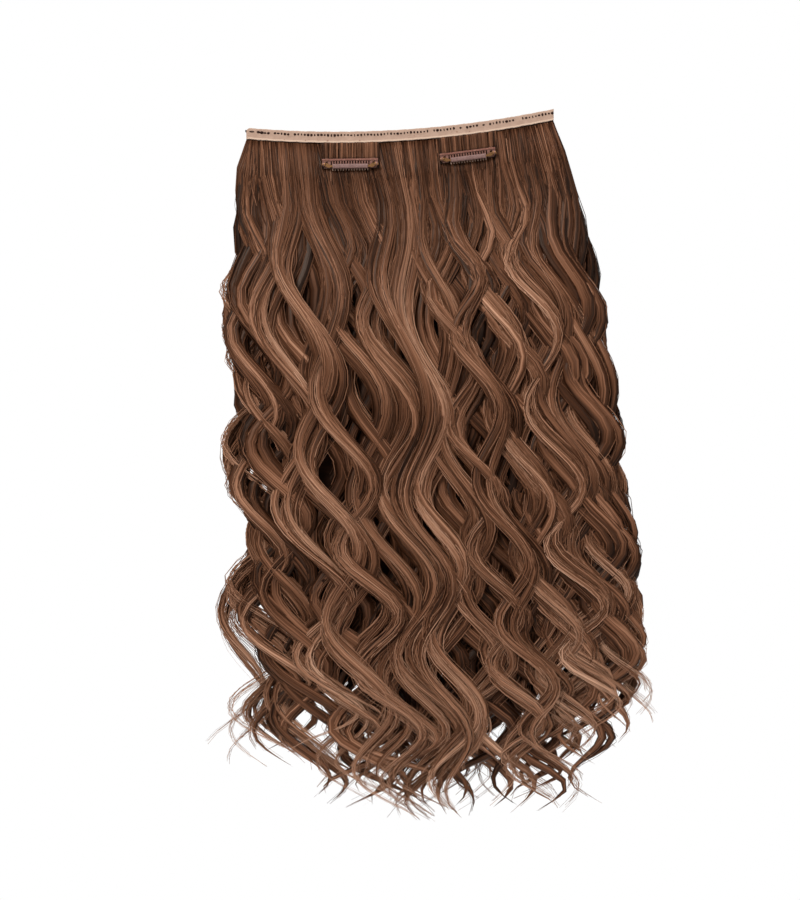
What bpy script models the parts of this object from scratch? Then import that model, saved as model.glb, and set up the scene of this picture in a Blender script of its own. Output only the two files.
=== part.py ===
"""Clip-in hair extension: long wavy hair on a folded tape, with two snap clips.

Lengths are in metres, +Z is up, +X runs along the tape and the clips face -Y.
The origin is the middle of the tape's top edge, where the piece hangs from the head.
"""

import math
from typing import NamedTuple

import bmesh
import bpy
from mathutils import Vector

# The tape: a band folded over the hair's roots, which sags between its ends
TAPE_SPAN = 0.2088
TAPE_HEIGHT = 0.0077
TAPE_WALL = 0.0010
TAPE_SAG = 0.0077
TAPE_RISE = 0.0128
TAPE_STEPS = 18

# The sheet of roots that the tape is folded over, and the gap between touching pieces
WEFT_THICKNESS = 0.0010
SEAT_GAP = 0.0003

# The hair below the tape
FALL_LENGTH = 0.466
FALL_DEPTH = 0.036
LOCK_WIDTH = 0.0210
LOCK_THICKNESS = 0.0125
LOCK_SWING = 0.0125
LOCK_TIP = 0.0024
ROOT_THICKNESS = 0.0024
LOCK_SIDES = 5
LOCK_SECTIONS = 26
SECTION_CROWDING = 0.74

# How the waves change down the fall, in shares of its length and of the sizes above
WAVE_TIGHTENING = 0.90
WAVE_WIDENING = 0.35
WAVE_DEPTH = 0.22
SPREAD_END = 0.30
GATHER_START = 0.60
GATHER_SHARE = 0.35

# How a lock's girth changes down its own length
GIRTH_AT_ENDS = 0.80
GIRTH_SWELL = 0.28
SWELL_END = 0.87
TAPER_START = 0.66
TAPER_END = 1.06
FLAT_SHARE = 0.35
SHEET_COVER = 0.90
TANGENT_STEP = 0.01

# The snap clips, each sewn to a tab that hangs from the tape
CLIP_LEFT_X = -0.0339
CLIP_RIGHT_X = 0.0457
CLIP_DROP = 0.0187
CLIP_LENGTH = 0.0380
TAB_THICKNESS = 0.0010
TAB_MARGIN = 0.0006

COMB_THICKNESS = 0.0006
COMB_HEIGHT = 0.0079
SPINE_HEIGHT = 0.0012
SPINE_THICKNESS = 0.0012
SPINE_LIP = 0.0001
WING_LENGTH = 0.0062
WING_HEIGHT = 0.0063
WING_CORNER = 0.0014
SEWING_HOLE_RADIUS = 0.0008
SEWING_HOLE_DROP = 0.0026
TOOTH_COUNT = 14
TOOTH_WIDTH = 0.0010
TOOTH_POINT = 0.0009
TOOTH_ARCH = 0.0003

PIVOT_DROP = 0.0039
PIVOT_STANDOFF = 0.0023
PIN_RADIUS = 0.00045
PIN_CLEARANCE = 0.0001
PIN_HEAD_RADIUS = 0.0008
PIN_HEAD_THICKNESS = 0.0004
EAR_RADIUS = 0.0013
EAR_THICKNESS = 0.0006
EAR_INSET = 0.0006
KNUCKLE_RADIUS = 0.0011
KNUCKLE_THICKNESS = 0.0007

SLEEVE_LENGTH = 0.0238
SLEEVE_HEIGHT = 0.0031
SLEEVE_THICKNESS = 0.0022
SLEEVE_WALL = 0.0005
SLEEVE_DROP = 0.0052
SLEEVE_CORNER = 0.0009
SLEEVE_BORE_CORNER = 0.0004
BAR_HEIGHT = 0.0014
BAR_THICKNESS = 0.0006
LUG_HEIGHT = 0.0026

JOIN_DEPTH = 0.00015
ROUND_SIDES = 12
ARC_STEPS = 8
WELD_DISTANCE = 0.00001
FLAT_ANGLE = 0.001


class Lock(NamedTuple):
    """One lock of hair. Places are shares of the tape's half span, drops of the fall's length."""

    root: float  # where it leaves the tape, -1 at the left end
    tip: float  # where its middle line ends
    crest: float  # drop of the first crest to the right
    pitch: float  # drop from one crest to the next, before the waves tighten
    swing: float  # share of LOCK_SWING
    depth: float  # share of half the fall's depth, negative in front
    girth: float  # share of a lock's width and thickness
    reach: float  # drop of the tip


FRONT_LOCKS = (
    Lock(root=-0.99, tip=-0.74, crest=0.175, pitch=0.215, swing=0.65, depth=-0.05, girth=0.75, reach=0.93),
    Lock(root=-0.86, tip=-0.28, crest=0.165, pitch=0.285, swing=0.95, depth=-0.75, girth=1.10, reach=0.95),
    Lock(root=-0.62, tip=0.02, crest=0.249, pitch=0.300, swing=1.05, depth=-0.95, girth=1.20, reach=1.00),
    Lock(root=-0.34, tip=0.34, crest=0.190, pitch=0.265, swing=1.00, depth=-0.85, girth=1.20, reach=0.97),
    Lock(root=-0.06, tip=0.48, crest=0.165, pitch=0.245, swing=1.10, depth=-0.90, girth=1.20, reach=0.98),
    Lock(root=0.20, tip=0.94, crest=0.139, pitch=0.230, swing=0.95, depth=-0.95, girth=1.15, reach=0.92),
    Lock(root=0.44, tip=1.18, crest=0.145, pitch=0.215, swing=0.90, depth=-0.80, girth=1.10, reach=0.88),
    Lock(root=0.70, tip=1.42, crest=0.120, pitch=0.220, swing=0.90, depth=-0.75, girth=1.00, reach=0.84),
    Lock(root=0.88, tip=1.36, crest=0.105, pitch=0.210, swing=0.85, depth=-0.40, girth=0.85, reach=0.87),
    Lock(root=0.98, tip=1.52, crest=0.150, pitch=0.215, swing=0.85, depth=-0.05, girth=0.60, reach=0.84),
)

BACK_LOCKS = (
    Lock(root=-0.95, tip=-0.98, crest=0.120, pitch=0.235, swing=1.35, depth=0.25, girth=0.55, reach=0.90),
    Lock(root=-0.76, tip=-0.45, crest=0.225, pitch=0.270, swing=0.90, depth=0.80, girth=1.05, reach=0.95),
    Lock(root=-0.48, tip=-0.12, crest=0.180, pitch=0.260, swing=0.90, depth=0.90, girth=1.10, reach=0.98),
    Lock(root=-0.20, tip=0.12, crest=0.230, pitch=0.280, swing=0.90, depth=0.85, girth=1.10, reach=0.97),
    Lock(root=0.08, tip=0.50, crest=0.190, pitch=0.250, swing=0.95, depth=0.90, girth=1.10, reach=0.99),
    Lock(root=0.36, tip=0.80, crest=0.160, pitch=0.245, swing=0.90, depth=0.85, girth=1.10, reach=0.95),
    Lock(root=0.62, tip=1.02, crest=0.175, pitch=0.240, swing=0.90, depth=0.80, girth=1.05, reach=0.91),
    Lock(root=0.86, tip=1.22, crest=0.140, pitch=0.225, swing=0.85, depth=0.55, girth=0.90, reach=0.88),
)


class BackingRow(NamedTuple):
    """One level of the mass behind the locks, in the same shares as a lock."""

    drop: float
    left: float
    right: float
    front: float
    back: float
    belly: float  # how much lower the middle hangs than the sides, of the fall's length


BACKING_ROWS = (
    BackingRow(drop=0.12, left=-0.99, right=1.03, front=-0.08, back=0.26, belly=0.00),
    BackingRow(drop=0.20, left=-0.95, right=1.06, front=-0.22, back=0.34, belly=0.00),
    BackingRow(drop=0.34, left=-0.96, right=1.14, front=-0.36, back=0.42, belly=0.00),
    BackingRow(drop=0.50, left=-0.94, right=1.22, front=-0.40, back=0.44, belly=0.00),
    BackingRow(drop=0.63, left=-0.88, right=1.24, front=-0.34, back=0.38, belly=0.01),
    BackingRow(drop=0.72, left=-0.74, right=1.14, front=-0.24, back=0.28, belly=0.03),
    BackingRow(drop=0.78, left=-0.58, right=1.00, front=-0.08, back=0.10, belly=0.06),
)
BACKING_COLUMNS = 11
BACKING_EDGE = 0.35

# Sizes that follow from the ones above
HALF_SPAN = TAPE_SPAN / 2
HALF_DEPTH = FALL_DEPTH / 2
SLOT_HALF = WEFT_THICKNESS / 2 + SEAT_GAP
TAPE_HALF = SLOT_HALF + TAPE_WALL
TAB_BACK = -SLOT_HALF
TAB_FRONT = TAB_BACK - TAB_THICKNESS
ROOT_DROP = TAPE_HEIGHT + 2 * SEAT_GAP
CLIP_FREE_DROP = CLIP_DROP + COMB_HEIGHT + TAPE_HEIGHT / 2
WAVES_FULL_DROP = CLIP_DROP + 4 * CLIP_FREE_DROP


def tape_top(x):
    """Height of the tape's top edge at x: a sag between the ends, tilted up to the right."""
    share = x / HALF_SPAN
    return TAPE_SAG * share**2 + TAPE_RISE / 2 * share


def tape_slope(x):
    """Slope of the tape's edge at x."""
    return (2 * TAPE_SAG * x / HALF_SPAN + TAPE_RISE / 2) / HALF_SPAN


def smooth_step(value, start, end):
    """0 before start, 1 past end, and a smooth rise between them."""
    share = min(1.0, max(0.0, (value - start) / (end - start)))
    return share * share * (3 - 2 * share)


def make_material(name, colour, roughness, metallic=0.0):
    """A plain material for one finish."""
    material = bpy.data.materials.new(name)
    material.use_nodes = True
    shader = material.node_tree.nodes["Principled BSDF"]
    shader.inputs["Base Color"].default_value = (*colour, 1.0)
    shader.inputs["Roughness"].default_value = roughness
    shader.inputs["Metallic"].default_value = metallic
    material.diffuse_color = (*colour, 1.0)
    return material


def clear_scene():
    """Removes what a new file holds."""
    for item in list(bpy.data.objects):
        bpy.data.objects.remove(item)


def make_collection(name):
    """A collection in the scene."""
    collection = bpy.data.collections.new(name)
    bpy.context.scene.collection.children.link(collection)
    return collection


def mesh_object(name, form, collection, material=None):
    """An object from a bmesh, with its faces turned outwards."""
    bmesh.ops.recalc_face_normals(form, faces=form.faces)
    mesh = bpy.data.meshes.new(name)
    form.to_mesh(mesh)
    form.free()
    item = bpy.data.objects.new(name, mesh)
    if material is not None:
        mesh.materials.append(material)
    collection.objects.link(item)
    return item


def plate(name, outline, near, far, collection, material=None, holes=()):
    """A flat outline in x and y, thickened from near to far along z, as a welded mesh."""
    curve = bpy.data.curves.new(name, "CURVE")
    curve.dimensions = "2D"
    curve.fill_mode = "BOTH"
    curve.extrude = (far - near) / 2
    for loop in (outline, *holes):
        spline = curve.splines.new("POLY")
        spline.points.add(len(loop) - 1)
        for point, (x, y) in zip(spline.points, loop):
            point.co = (x, y, 0.0, 1.0)
        spline.use_cyclic_u = True
    source = bpy.data.objects.new(name + "_outline", curve)
    source.location.z = (near + far) / 2
    bpy.context.scene.collection.objects.link(source)
    bpy.context.view_layer.update()
    evaluated = source.evaluated_get(bpy.context.evaluated_depsgraph_get())
    mesh = bpy.data.meshes.new_from_object(evaluated)
    mesh.transform(source.matrix_world)
    bpy.data.objects.remove(source)
    form = bmesh.new()
    form.from_mesh(mesh)
    bpy.data.meshes.remove(mesh)
    bmesh.ops.remove_doubles(form, verts=form.verts, dist=WELD_DISTANCE)
    bmesh.ops.dissolve_limit(form, angle_limit=FLAT_ANGLE, verts=form.verts, edges=form.edges)
    return mesh_object(name, form, collection, material)


def rod(name, radius, start, end, y, z, collection, material=None):
    """A cylinder along x from start to end."""
    form = bmesh.new()
    bmesh.ops.create_cone(
        form, cap_ends=True, segments=ROUND_SIDES, radius1=radius, radius2=radius, depth=abs(end - start)
    )
    item = mesh_object(name, form, collection, material)
    item.rotation_euler = (0.0, math.radians(90), 0.0)
    item.location = ((start + end) / 2, y, z)
    return item


def circle(x, y, radius, sides=ROUND_SIDES):
    """The corners of a round outline."""
    return [
        (x + radius * math.cos(2 * math.pi * i / sides), y + radius * math.sin(2 * math.pi * i / sides))
        for i in range(sides)
    ]


def combine(target, others, operation, solver="EXACT"):
    """Joins or cuts others into target with Booleans, and hides them."""
    for other in others:
        modifier = target.modifiers.new(operation.lower() + "_" + other.name, "BOOLEAN")
        modifier.operation = operation
        modifier.solver = solver
        modifier.object = other
        hide(other)


def hide(item):
    """Marks an object as a cutter, which isn't a piece."""
    item.hide_render = True
    item.display_type = "WIRE"


def tape_band(top_drop, bottom_drop, left=-HALF_SPAN, right=HALF_SPAN):
    """An outline that follows the tape, between two drops below its top edge."""
    xs = [left + (right - left) * i / TAPE_STEPS for i in range(TAPE_STEPS + 1)]
    upper = [(x, tape_top(x) - top_drop) for x in xs]
    lower = [(x, tape_top(x) - bottom_drop) for x in reversed(xs)]
    return upper + lower


def make_tape(pieces, cutters, material):
    """The folded tape: a band with a slot from below for the roots."""
    tape = plate("weft_tape", tape_band(0.0, TAPE_HEIGHT), -TAPE_HALF, TAPE_HALF, pieces, material)
    overrun = TAPE_WALL
    slot = plate(
        "tape_slot",
        tape_band(TAPE_WALL, TAPE_HEIGHT + overrun, -HALF_SPAN - overrun, HALF_SPAN + overrun),
        -SLOT_HALF,
        SLOT_HALF,
        cutters,
    )
    for item in (tape, slot):
        item.rotation_euler.x = math.radians(90)
    combine(tape, [slot], "DIFFERENCE")
    return tape


def lock_centre(lock, share):
    """A point on the lock's middle line, at a share of the lock's own length."""
    drop = ROOT_DROP + (lock.reach * FALL_LENGTH - ROOT_DROP) * share
    fall = drop / FALL_LENGTH
    beyond = fall - lock.crest
    turns = (beyond + 0.5 * WAVE_TIGHTENING * beyond * abs(beyond)) / lock.pitch
    loosening = smooth_step(drop, CLIP_DROP, WAVES_FULL_DROP)
    swing = LOCK_SWING * lock.swing * loosening * (1 + WAVE_WIDENING * fall**2)
    root_x = lock.root * HALF_SPAN
    drift = (lock.tip - lock.root) * HALF_SPAN * fall / lock.reach
    x = root_x + drift + swing * math.cos(2 * math.pi * turns)
    spread = smooth_step(drop, CLIP_FREE_DROP, SPREAD_END * FALL_LENGTH)
    spread *= 1 - GATHER_SHARE * smooth_step(fall, GATHER_START, 1.0)
    y = lock.depth * spread * HALF_DEPTH + WAVE_DEPTH * swing * spread * math.sin(2 * math.pi * turns)
    return Vector((x, y, tape_top(root_x) - drop)), spread


def lock_section(lock, share, spread):
    """Half the width and half the thickness of the lock at a share of its length."""
    swell = GIRTH_AT_ENDS + GIRTH_SWELL * math.sin(math.pi * min(1.0, share / SWELL_END))
    taper = 1 - smooth_step(share, TAPER_START, TAPER_END)
    width = LOCK_TIP + (LOCK_WIDTH * lock.girth * swell - LOCK_TIP) * taper
    full = LOCK_THICKNESS * lock.girth * swell * (FLAT_SHARE + (1 - FLAT_SHARE) * spread)
    thickness = LOCK_TIP + (ROOT_THICKNESS + (full - ROOT_THICKNESS) * spread - LOCK_TIP) * taper
    return width / 2, thickness / 2


def section_shares(lock):
    """Where a lock's sections stand: at the tape, below the clips, then closer together to the tip."""
    free = (CLIP_FREE_DROP - ROOT_DROP) / (lock.reach * FALL_LENGTH - ROOT_DROP)
    steps = LOCK_SECTIONS - 1
    return [0.0] + [free + (1 - free) * (i / steps) ** SECTION_CROWDING for i in range(steps + 1)]


def make_lock(name, lock, collection):
    """A lofted lock: flat where it leaves the tape, round below, and tapered to its tip."""
    form = bmesh.new()
    rings = []
    edge = Vector((1.0, 0.0, tape_slope(lock.root * HALF_SPAN))).normalized()
    for share in section_shares(lock):
        centre, spread = lock_centre(lock, share)
        before, _ = lock_centre(lock, max(0.0, share - TANGENT_STEP))
        after, _ = lock_centre(lock, min(1.0, share + TANGENT_STEP))
        along = (after - before).normalized()
        across = Vector((-along.z, 0.0, along.x)).normalized() if rings else edge
        half_width, half_thickness = lock_section(lock, share, spread)
        centre.y += (half_thickness - SHEET_COVER * WEFT_THICKNESS / 2) * (1 - spread)
        ring = []
        for k in range(LOCK_SIDES):
            angle = 2 * math.pi * (k + 0.5) / LOCK_SIDES
            outwards = Vector((0.0, half_thickness * math.sin(angle), 0.0))
            ring.append(form.verts.new(centre + across * (half_width * math.cos(angle)) + outwards))
        rings.append(ring)
    skin(form, rings)
    form.faces.new(rings[0])
    form.faces.new(list(reversed(rings[-1])))
    return mesh_object(name, form, collection)


def skin(form, rings):
    """Skins a stack of rings with the same number of corners, and leaves both ends open."""
    count = len(rings[0])
    for lower, upper in zip(rings, rings[1:]):
        for k in range(count):
            form.faces.new((lower[k], lower[(k + 1) % count], upper[(k + 1) % count], upper[k]))


def backing_ring(form, drop, left, right, front, back, belly, squared):
    """One level of the backing, round its edge; squared is 1 for a flat sheet and 0 for a pillow."""
    columns = []
    for i in range(BACKING_COLUMNS):
        across = -1 + 2 * i / (BACKING_COLUMNS - 1)
        x = left + (right - left) * (across + 1) / 2
        bulge = BACKING_EDGE + (1 - BACKING_EDGE) * math.sqrt(max(0.0, 1 - across**2))
        fullness = squared + (1 - squared) * bulge
        z = tape_top(max(-HALF_SPAN, min(HALF_SPAN, x))) - drop - belly * (1 - across**2)
        columns.append((x, z, fullness))
    facing = [form.verts.new((x, front * fullness, z)) for x, z, fullness in columns]
    behind = [form.verts.new((x, back * fullness, z)) for x, z, fullness in reversed(columns)]
    return facing + behind


def close_strip(form, ring):
    """Closes a backing ring with a strip of faces between its front and its back."""
    count = len(ring)
    for i in range(count // 2 - 1):
        form.faces.new((ring[i], ring[i + 1], ring[count - 2 - i], ring[count - 1 - i]))


def make_hair(pieces, cutters, material):
    """The sheet of roots and the mass below it, with the locks joined on."""
    half_weft = WEFT_THICKNESS / 2
    form = bmesh.new()
    rings = [
        backing_ring(form, drop, -HALF_SPAN, HALF_SPAN, -half_weft, back, 0.0, 1.0)
        for drop, back in (
            (TAPE_WALL + SEAT_GAP, half_weft),
            (TAPE_HEIGHT + SEAT_GAP, half_weft),
            (CLIP_DROP, 3 * half_weft),
            (CLIP_FREE_DROP, 5 * half_weft),
        )
    ]
    for row in BACKING_ROWS:
        sides = (row.left * HALF_SPAN, row.right * HALF_SPAN)
        faces = (row.front * HALF_DEPTH, row.back * HALF_DEPTH)
        heights = (row.drop * FALL_LENGTH, *sides, *faces, row.belly * FALL_LENGTH)
        rings.append(backing_ring(form, *heights, 0.0))
    skin(form, rings)
    close_strip(form, rings[0])
    close_strip(form, rings[-1])
    hair = mesh_object("hair_fall", form, pieces, material)
    locks = bpy.data.collections.new("hair_locks")
    cutters.children.link(locks)
    for i, lock in enumerate(FRONT_LOCKS + BACK_LOCKS):
        hide(make_lock(f"lock_{i + 1:02d}", lock, locks))
    modifier = hair.modifiers.new("join_locks", "BOOLEAN")
    modifier.operation = "UNION"
    modifier.solver = "EXACT"
    modifier.operand_type = "COLLECTION"
    modifier.collection = locks
    return hair


def make_tab(side, centre_x, tilt, pieces, material):
    """The short panel that hangs from the tape behind a clip."""
    half = CLIP_LENGTH / 2 + TAB_MARGIN
    left, right = centre_x - half, centre_x + half
    xs = [left + (right - left) * i / ARC_STEPS for i in range(ARC_STEPS + 1)]
    upper = [(x, tape_top(x) - TAPE_HEIGHT - SEAT_GAP) for x in xs]
    foot = CLIP_DROP + WING_HEIGHT + TAB_MARGIN
    middle = tape_top(centre_x) - foot
    lower = [(right, middle + half * math.tan(tilt)), (left, middle - half * math.tan(tilt))]
    tab = plate("clip_tab_" + side, upper + lower, -TAB_BACK, -TAB_FRONT, pieces, material)
    tab.rotation_euler.x = math.radians(90)
    return tab


def comb_outline():
    """The stamped comb in its own plane: spine along the top, a wing at each end, teeth between."""
    half = CLIP_LENGTH / 2 - SPINE_LIP
    inner = CLIP_LENGTH / 2 - WING_LENGTH
    arch = -SPINE_HEIGHT + SPINE_LIP
    shoulder = arch - TOOTH_ARCH
    pitch = 2 * inner / TOOTH_COUNT
    wing_side = inner + (pitch - TOOTH_WIDTH) / 2
    points = [(-half, -SPINE_LIP), (-half, -WING_HEIGHT + 2 * WING_CORNER)]
    points += [(-half + WING_CORNER, -WING_HEIGHT), (-wing_side, -WING_HEIGHT), (-wing_side, shoulder)]
    for i in range(TOOTH_COUNT):
        middle = -inner + pitch * (i + 0.5)
        left, right = middle - TOOTH_WIDTH / 2, middle + TOOTH_WIDTH / 2
        points += [(middle - pitch / 2, arch), (left, shoulder), (left, -COMB_HEIGHT + TOOTH_POINT)]
        points += [(middle - TOOTH_WIDTH / 4, -COMB_HEIGHT), (middle + TOOTH_WIDTH / 4, -COMB_HEIGHT)]
        points += [(right, -COMB_HEIGHT + TOOTH_POINT), (right, shoulder)]
    points += [(inner, arch), (wing_side, shoulder), (wing_side, -WING_HEIGHT)]
    points += [(half - WING_CORNER, -WING_HEIGHT), (half, -WING_HEIGHT + 2 * WING_CORNER), (half, -SPINE_LIP)]
    return points


def ear_faces():
    """Where an ear's inner and outer face stand along the clip."""
    outer = CLIP_LENGTH / 2 - EAR_INSET
    return outer - EAR_THICKNESS, outer


def across_clip(item, offset):
    """Turns a plate made in x and y so that its thickness runs along the clip, its x outwards."""
    item.rotation_euler = (0.0, math.radians(-90), 0.0)
    item.location = offset
    return item


def ear_outline(foot):
    """An ear seen along the clip: a stem from the wing at foot, with a round end about the pivot."""
    arc = [-math.pi / 2 + math.pi * i / ARC_STEPS for i in range(ARC_STEPS + 1)]
    head = [(PIVOT_STANDOFF + EAR_RADIUS * math.cos(a), EAR_RADIUS * math.sin(a)) for a in arc]
    return [(foot, -EAR_RADIUS)] + head + [(foot, EAR_RADIUS)]


def make_comb(side, frame, pieces, cutters, material):
    """The comb: a toothed plate with a thick spine and a drilled ear at each end."""
    near = SEAT_GAP
    far = near + COMB_THICKNESS
    half = CLIP_LENGTH / 2
    sewing = [
        circle(sign * (half - WING_LENGTH / 2), -SEWING_HOLE_DROP, SEWING_HOLE_RADIUS) for sign in (-1, 1)
    ]
    comb = plate("comb_" + side, comb_outline(), near, far, pieces, material, sewing)
    spine_outline = [(-half, 0.0), (half, 0.0), (half, -SPINE_HEIGHT), (-half, -SPINE_HEIGHT)]
    added = [plate(f"spine_{side}", spine_outline, near + JOIN_DEPTH, near + SPINE_THICKNESS, cutters)]
    inner, outer = ear_faces()
    eye = circle(PIVOT_STANDOFF, 0.0, PIN_RADIUS + PIN_CLEARANCE)
    for sign, end in ((-1, "a"), (1, "b")):
        span = sorted((-sign * inner, -sign * outer))
        ear = plate(f"ear_{side}_{end}", ear_outline(near + JOIN_DEPTH), *span, cutters, None, [eye])
        added.append(across_clip(ear, (0.0, -PIVOT_DROP, 0.0)))
    for item in [comb, *added]:
        item.parent = frame
    combine(comb, added, "UNION", "MANIFOLD")
    return comb


def bar_outline():
    """The bar from the front: a strip with a leaf-shaped lug rising to the knuckle at each end."""
    start = SLEEVE_LENGTH / 2 + 2 * SEAT_GAP
    end = ear_faces()[0] - SEAT_GAP - KNUCKLE_THICKNESS / 2
    rise = SLEEVE_DROP - PIVOT_DROP
    neck = BAR_HEIGHT / 2
    belly = LUG_HEIGHT / 2
    stations = ((0.0, neck), (0.18, neck), (0.42, belly), (0.72, belly), (1.0, 0.6 * belly))
    middle = [(start + share * (end - start), -rise * (1 - share**1.5), half) for share, half in stations]
    lower = [(x, y - half) for x, y, half in middle]
    upper = [(x, y + half) for x, y, half in reversed(middle)]
    right = lower + upper
    return right + [(-x, y) for x, y in reversed(right)]


def make_snap_bar(side, axis, pieces, cutters, material):
    """The bar inside the sleeve, with a lug and a drilled knuckle at each end, about its pivot axis."""
    depth = BAR_THICKNESS / 2
    bar = plate("snap_bar_" + side, bar_outline(), -depth, depth, pieces, material)
    added = []
    drills = []
    outer = ear_faces()[0] - SEAT_GAP
    inner = outer - KNUCKLE_THICKNESS
    for sign, end in ((-1, "a"), (1, "b")):
        knuckle = rod(f"knuckle_{side}_{end}", KNUCKLE_RADIUS, sign * inner, sign * outer, 0.0, 0.0, cutters)
        drill = rod(
            f"drill_{side}_{end}", PIN_RADIUS + PIN_CLEARANCE, sign * (inner - KNUCKLE_THICKNESS),
            sign * (outer + KNUCKLE_THICKNESS), 0.0, 0.0, cutters,
        )
        added.append(knuckle)
        drills.append(drill)
    for item in [bar, *added, *drills]:
        item.parent = axis
    combine(bar, added, "UNION")
    combine(bar, drills, "DIFFERENCE")
    return bar


def rounded_box(half_width, half_height, corner, steps=3):
    """A rectangle with rounded corners."""
    points = []
    for quarter, (sx, sy) in enumerate(((1, 1), (-1, 1), (-1, -1), (1, -1))):
        for i in range(steps + 1):
            angle = math.pi / 2 * (quarter + i / steps)
            x = sx * (half_width - corner) + corner * math.cos(angle)
            y = sy * (half_height - corner) + corner * math.sin(angle)
            points.append((x, y))
    return points


def make_sleeve(side, axis, pieces, material):
    """The soft sleeve over the bar: a rounded tube along the clip."""
    half_thick = SLEEVE_THICKNESS / 2
    half_high = SLEEVE_HEIGHT / 2
    outside = rounded_box(half_thick, half_high, SLEEVE_CORNER)
    bore = rounded_box(half_thick - SLEEVE_WALL, half_high - SLEEVE_WALL, SLEEVE_BORE_CORNER)
    half_long = SLEEVE_LENGTH / 2
    sleeve = plate("sleeve_" + side, outside, -half_long, half_long, pieces, material, [bore])
    sleeve.rotation_euler = (0.0, math.radians(90), 0.0)
    sleeve.location.y = PIVOT_DROP - SLEEVE_DROP
    sleeve.parent = axis
    return sleeve


def make_pins(side, frame, pieces, cutters, material):
    """The two short rivets that join the snap bar to the comb's ears."""
    inner, outer = ear_faces()
    start = inner - SEAT_GAP - KNUCKLE_THICKNESS
    for sign, end in ((-1, "left"), (1, "right")):
        seat = outer + SEAT_GAP
        pin = rod(
            f"pivot_pin_{side}_{end}", PIN_RADIUS, sign * start, sign * (seat + PIN_HEAD_THICKNESS / 2),
            -PIVOT_DROP, PIVOT_STANDOFF, pieces, material,
        )
        head = rod(
            f"pin_head_{side}_{end}", PIN_HEAD_RADIUS, sign * seat, sign * (seat + PIN_HEAD_THICKNESS),
            -PIVOT_DROP, PIVOT_STANDOFF, cutters,
        )
        for item in (pin, head):
            item.parent = frame
        combine(pin, [head], "UNION")


def make_empty(name, location, rotation, parent=None):
    """A guide that carries pieces."""
    empty = bpy.data.objects.new(name, None)
    empty.location = location
    empty.rotation_euler = rotation
    empty.parent = parent
    bpy.context.scene.collection.objects.link(empty)
    return empty


def make_clip(side, centre_x, pieces, cutters, materials):
    """One snap clip and the tab behind it, tilted as the tape is above it."""
    tilt = math.atan(tape_slope(centre_x))
    spine_top = Vector((centre_x, TAB_FRONT, tape_top(centre_x) - CLIP_DROP))
    frame = make_empty("clip_frame_" + side, spine_top, (math.radians(90), -tilt, 0.0))
    axis = make_empty("snap_axis_" + side, (0.0, -PIVOT_DROP, PIVOT_STANDOFF), (0.0, 0.0, 0.0), frame)
    make_tab(side, centre_x, tilt, pieces, materials["tab"])
    make_comb(side, frame, pieces, cutters, materials["comb"])
    make_snap_bar(side, axis, pieces, cutters, materials["brass"])
    make_sleeve(side, axis, pieces, materials["sleeve"])
    make_pins(side, frame, pieces, cutters, materials["brass"])


def main():
    """Builds the whole piece."""
    clear_scene()
    pieces = make_collection("clip_in_hair_extension")
    cutters = make_collection("cutters")
    materials = {
        "tape": make_material("tape_cloth", (0.56, 0.40, 0.29), 0.85),
        "hair": make_material("brown_hair", (0.13, 0.062, 0.036), 0.38),
        "tab": make_material("tab_weft", (0.17, 0.085, 0.062), 0.55),
        "comb": make_material("brown_enamel", (0.27, 0.115, 0.080), 0.35, 0.4),
        "brass": make_material("worn_brass", (0.50, 0.29, 0.09), 0.35, 1.0),
        "sleeve": make_material("silicone", (0.24, 0.14, 0.125), 0.50),
    }
    make_tape(pieces, cutters, materials["tape"])
    make_hair(pieces, cutters, materials["hair"])
    make_clip("left", CLIP_LEFT_X, pieces, cutters, materials)
    make_clip("right", CLIP_RIGHT_X, pieces, cutters, materials)
    bpy.context.view_layer.update()


main()
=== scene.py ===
"""Dresses the clip-in hair extension: wavy hair in strands, a sewn tape and two worn snap clips.

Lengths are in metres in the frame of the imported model: +Z is up, +X runs along the tape and the
clips face -Y. The locks are those of the part's own source, with their routes read more closely
from the photograph.
"""

from __future__ import annotations

import logging
import math
from dataclasses import dataclass, replace
from enum import Enum

import bpy
import numpy as np
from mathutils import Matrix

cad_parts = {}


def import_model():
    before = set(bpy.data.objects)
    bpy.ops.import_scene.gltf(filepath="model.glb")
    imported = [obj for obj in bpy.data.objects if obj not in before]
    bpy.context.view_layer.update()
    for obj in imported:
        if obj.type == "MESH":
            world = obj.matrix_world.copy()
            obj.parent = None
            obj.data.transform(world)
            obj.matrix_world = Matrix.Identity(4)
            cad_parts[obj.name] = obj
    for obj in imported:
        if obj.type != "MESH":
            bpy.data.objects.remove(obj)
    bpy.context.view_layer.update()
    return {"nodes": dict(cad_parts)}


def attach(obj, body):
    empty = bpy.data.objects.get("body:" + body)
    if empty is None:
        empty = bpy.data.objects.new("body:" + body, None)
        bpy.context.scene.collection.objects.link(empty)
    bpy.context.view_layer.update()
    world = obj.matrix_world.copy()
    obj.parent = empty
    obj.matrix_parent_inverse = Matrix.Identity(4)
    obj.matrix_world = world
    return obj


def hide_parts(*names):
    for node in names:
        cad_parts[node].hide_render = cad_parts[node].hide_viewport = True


LOG = logging.getLogger("hair_extension")
WEFT_BODY = "weft"

# The tape and the seats round it, as in the part
TAPE_SPAN = 0.2088
TAPE_HEIGHT = 0.0077
TAPE_WALL = 0.0010
TAPE_SAG = 0.0077
TAPE_RISE = 0.0128
WEFT_THICKNESS = 0.0010
SEAT_GAP = 0.0003

# The hair below the tape, as in the part
FALL_LENGTH = 0.466
FALL_DEPTH = 0.036
LOCK_WIDTH = 0.0210
LOCK_THICKNESS = 0.0125
WAVE_TIGHTENING = 0.90
SPREAD_END = 0.30
GATHER_START = 0.60
GATHER_SHARE = 0.35

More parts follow.
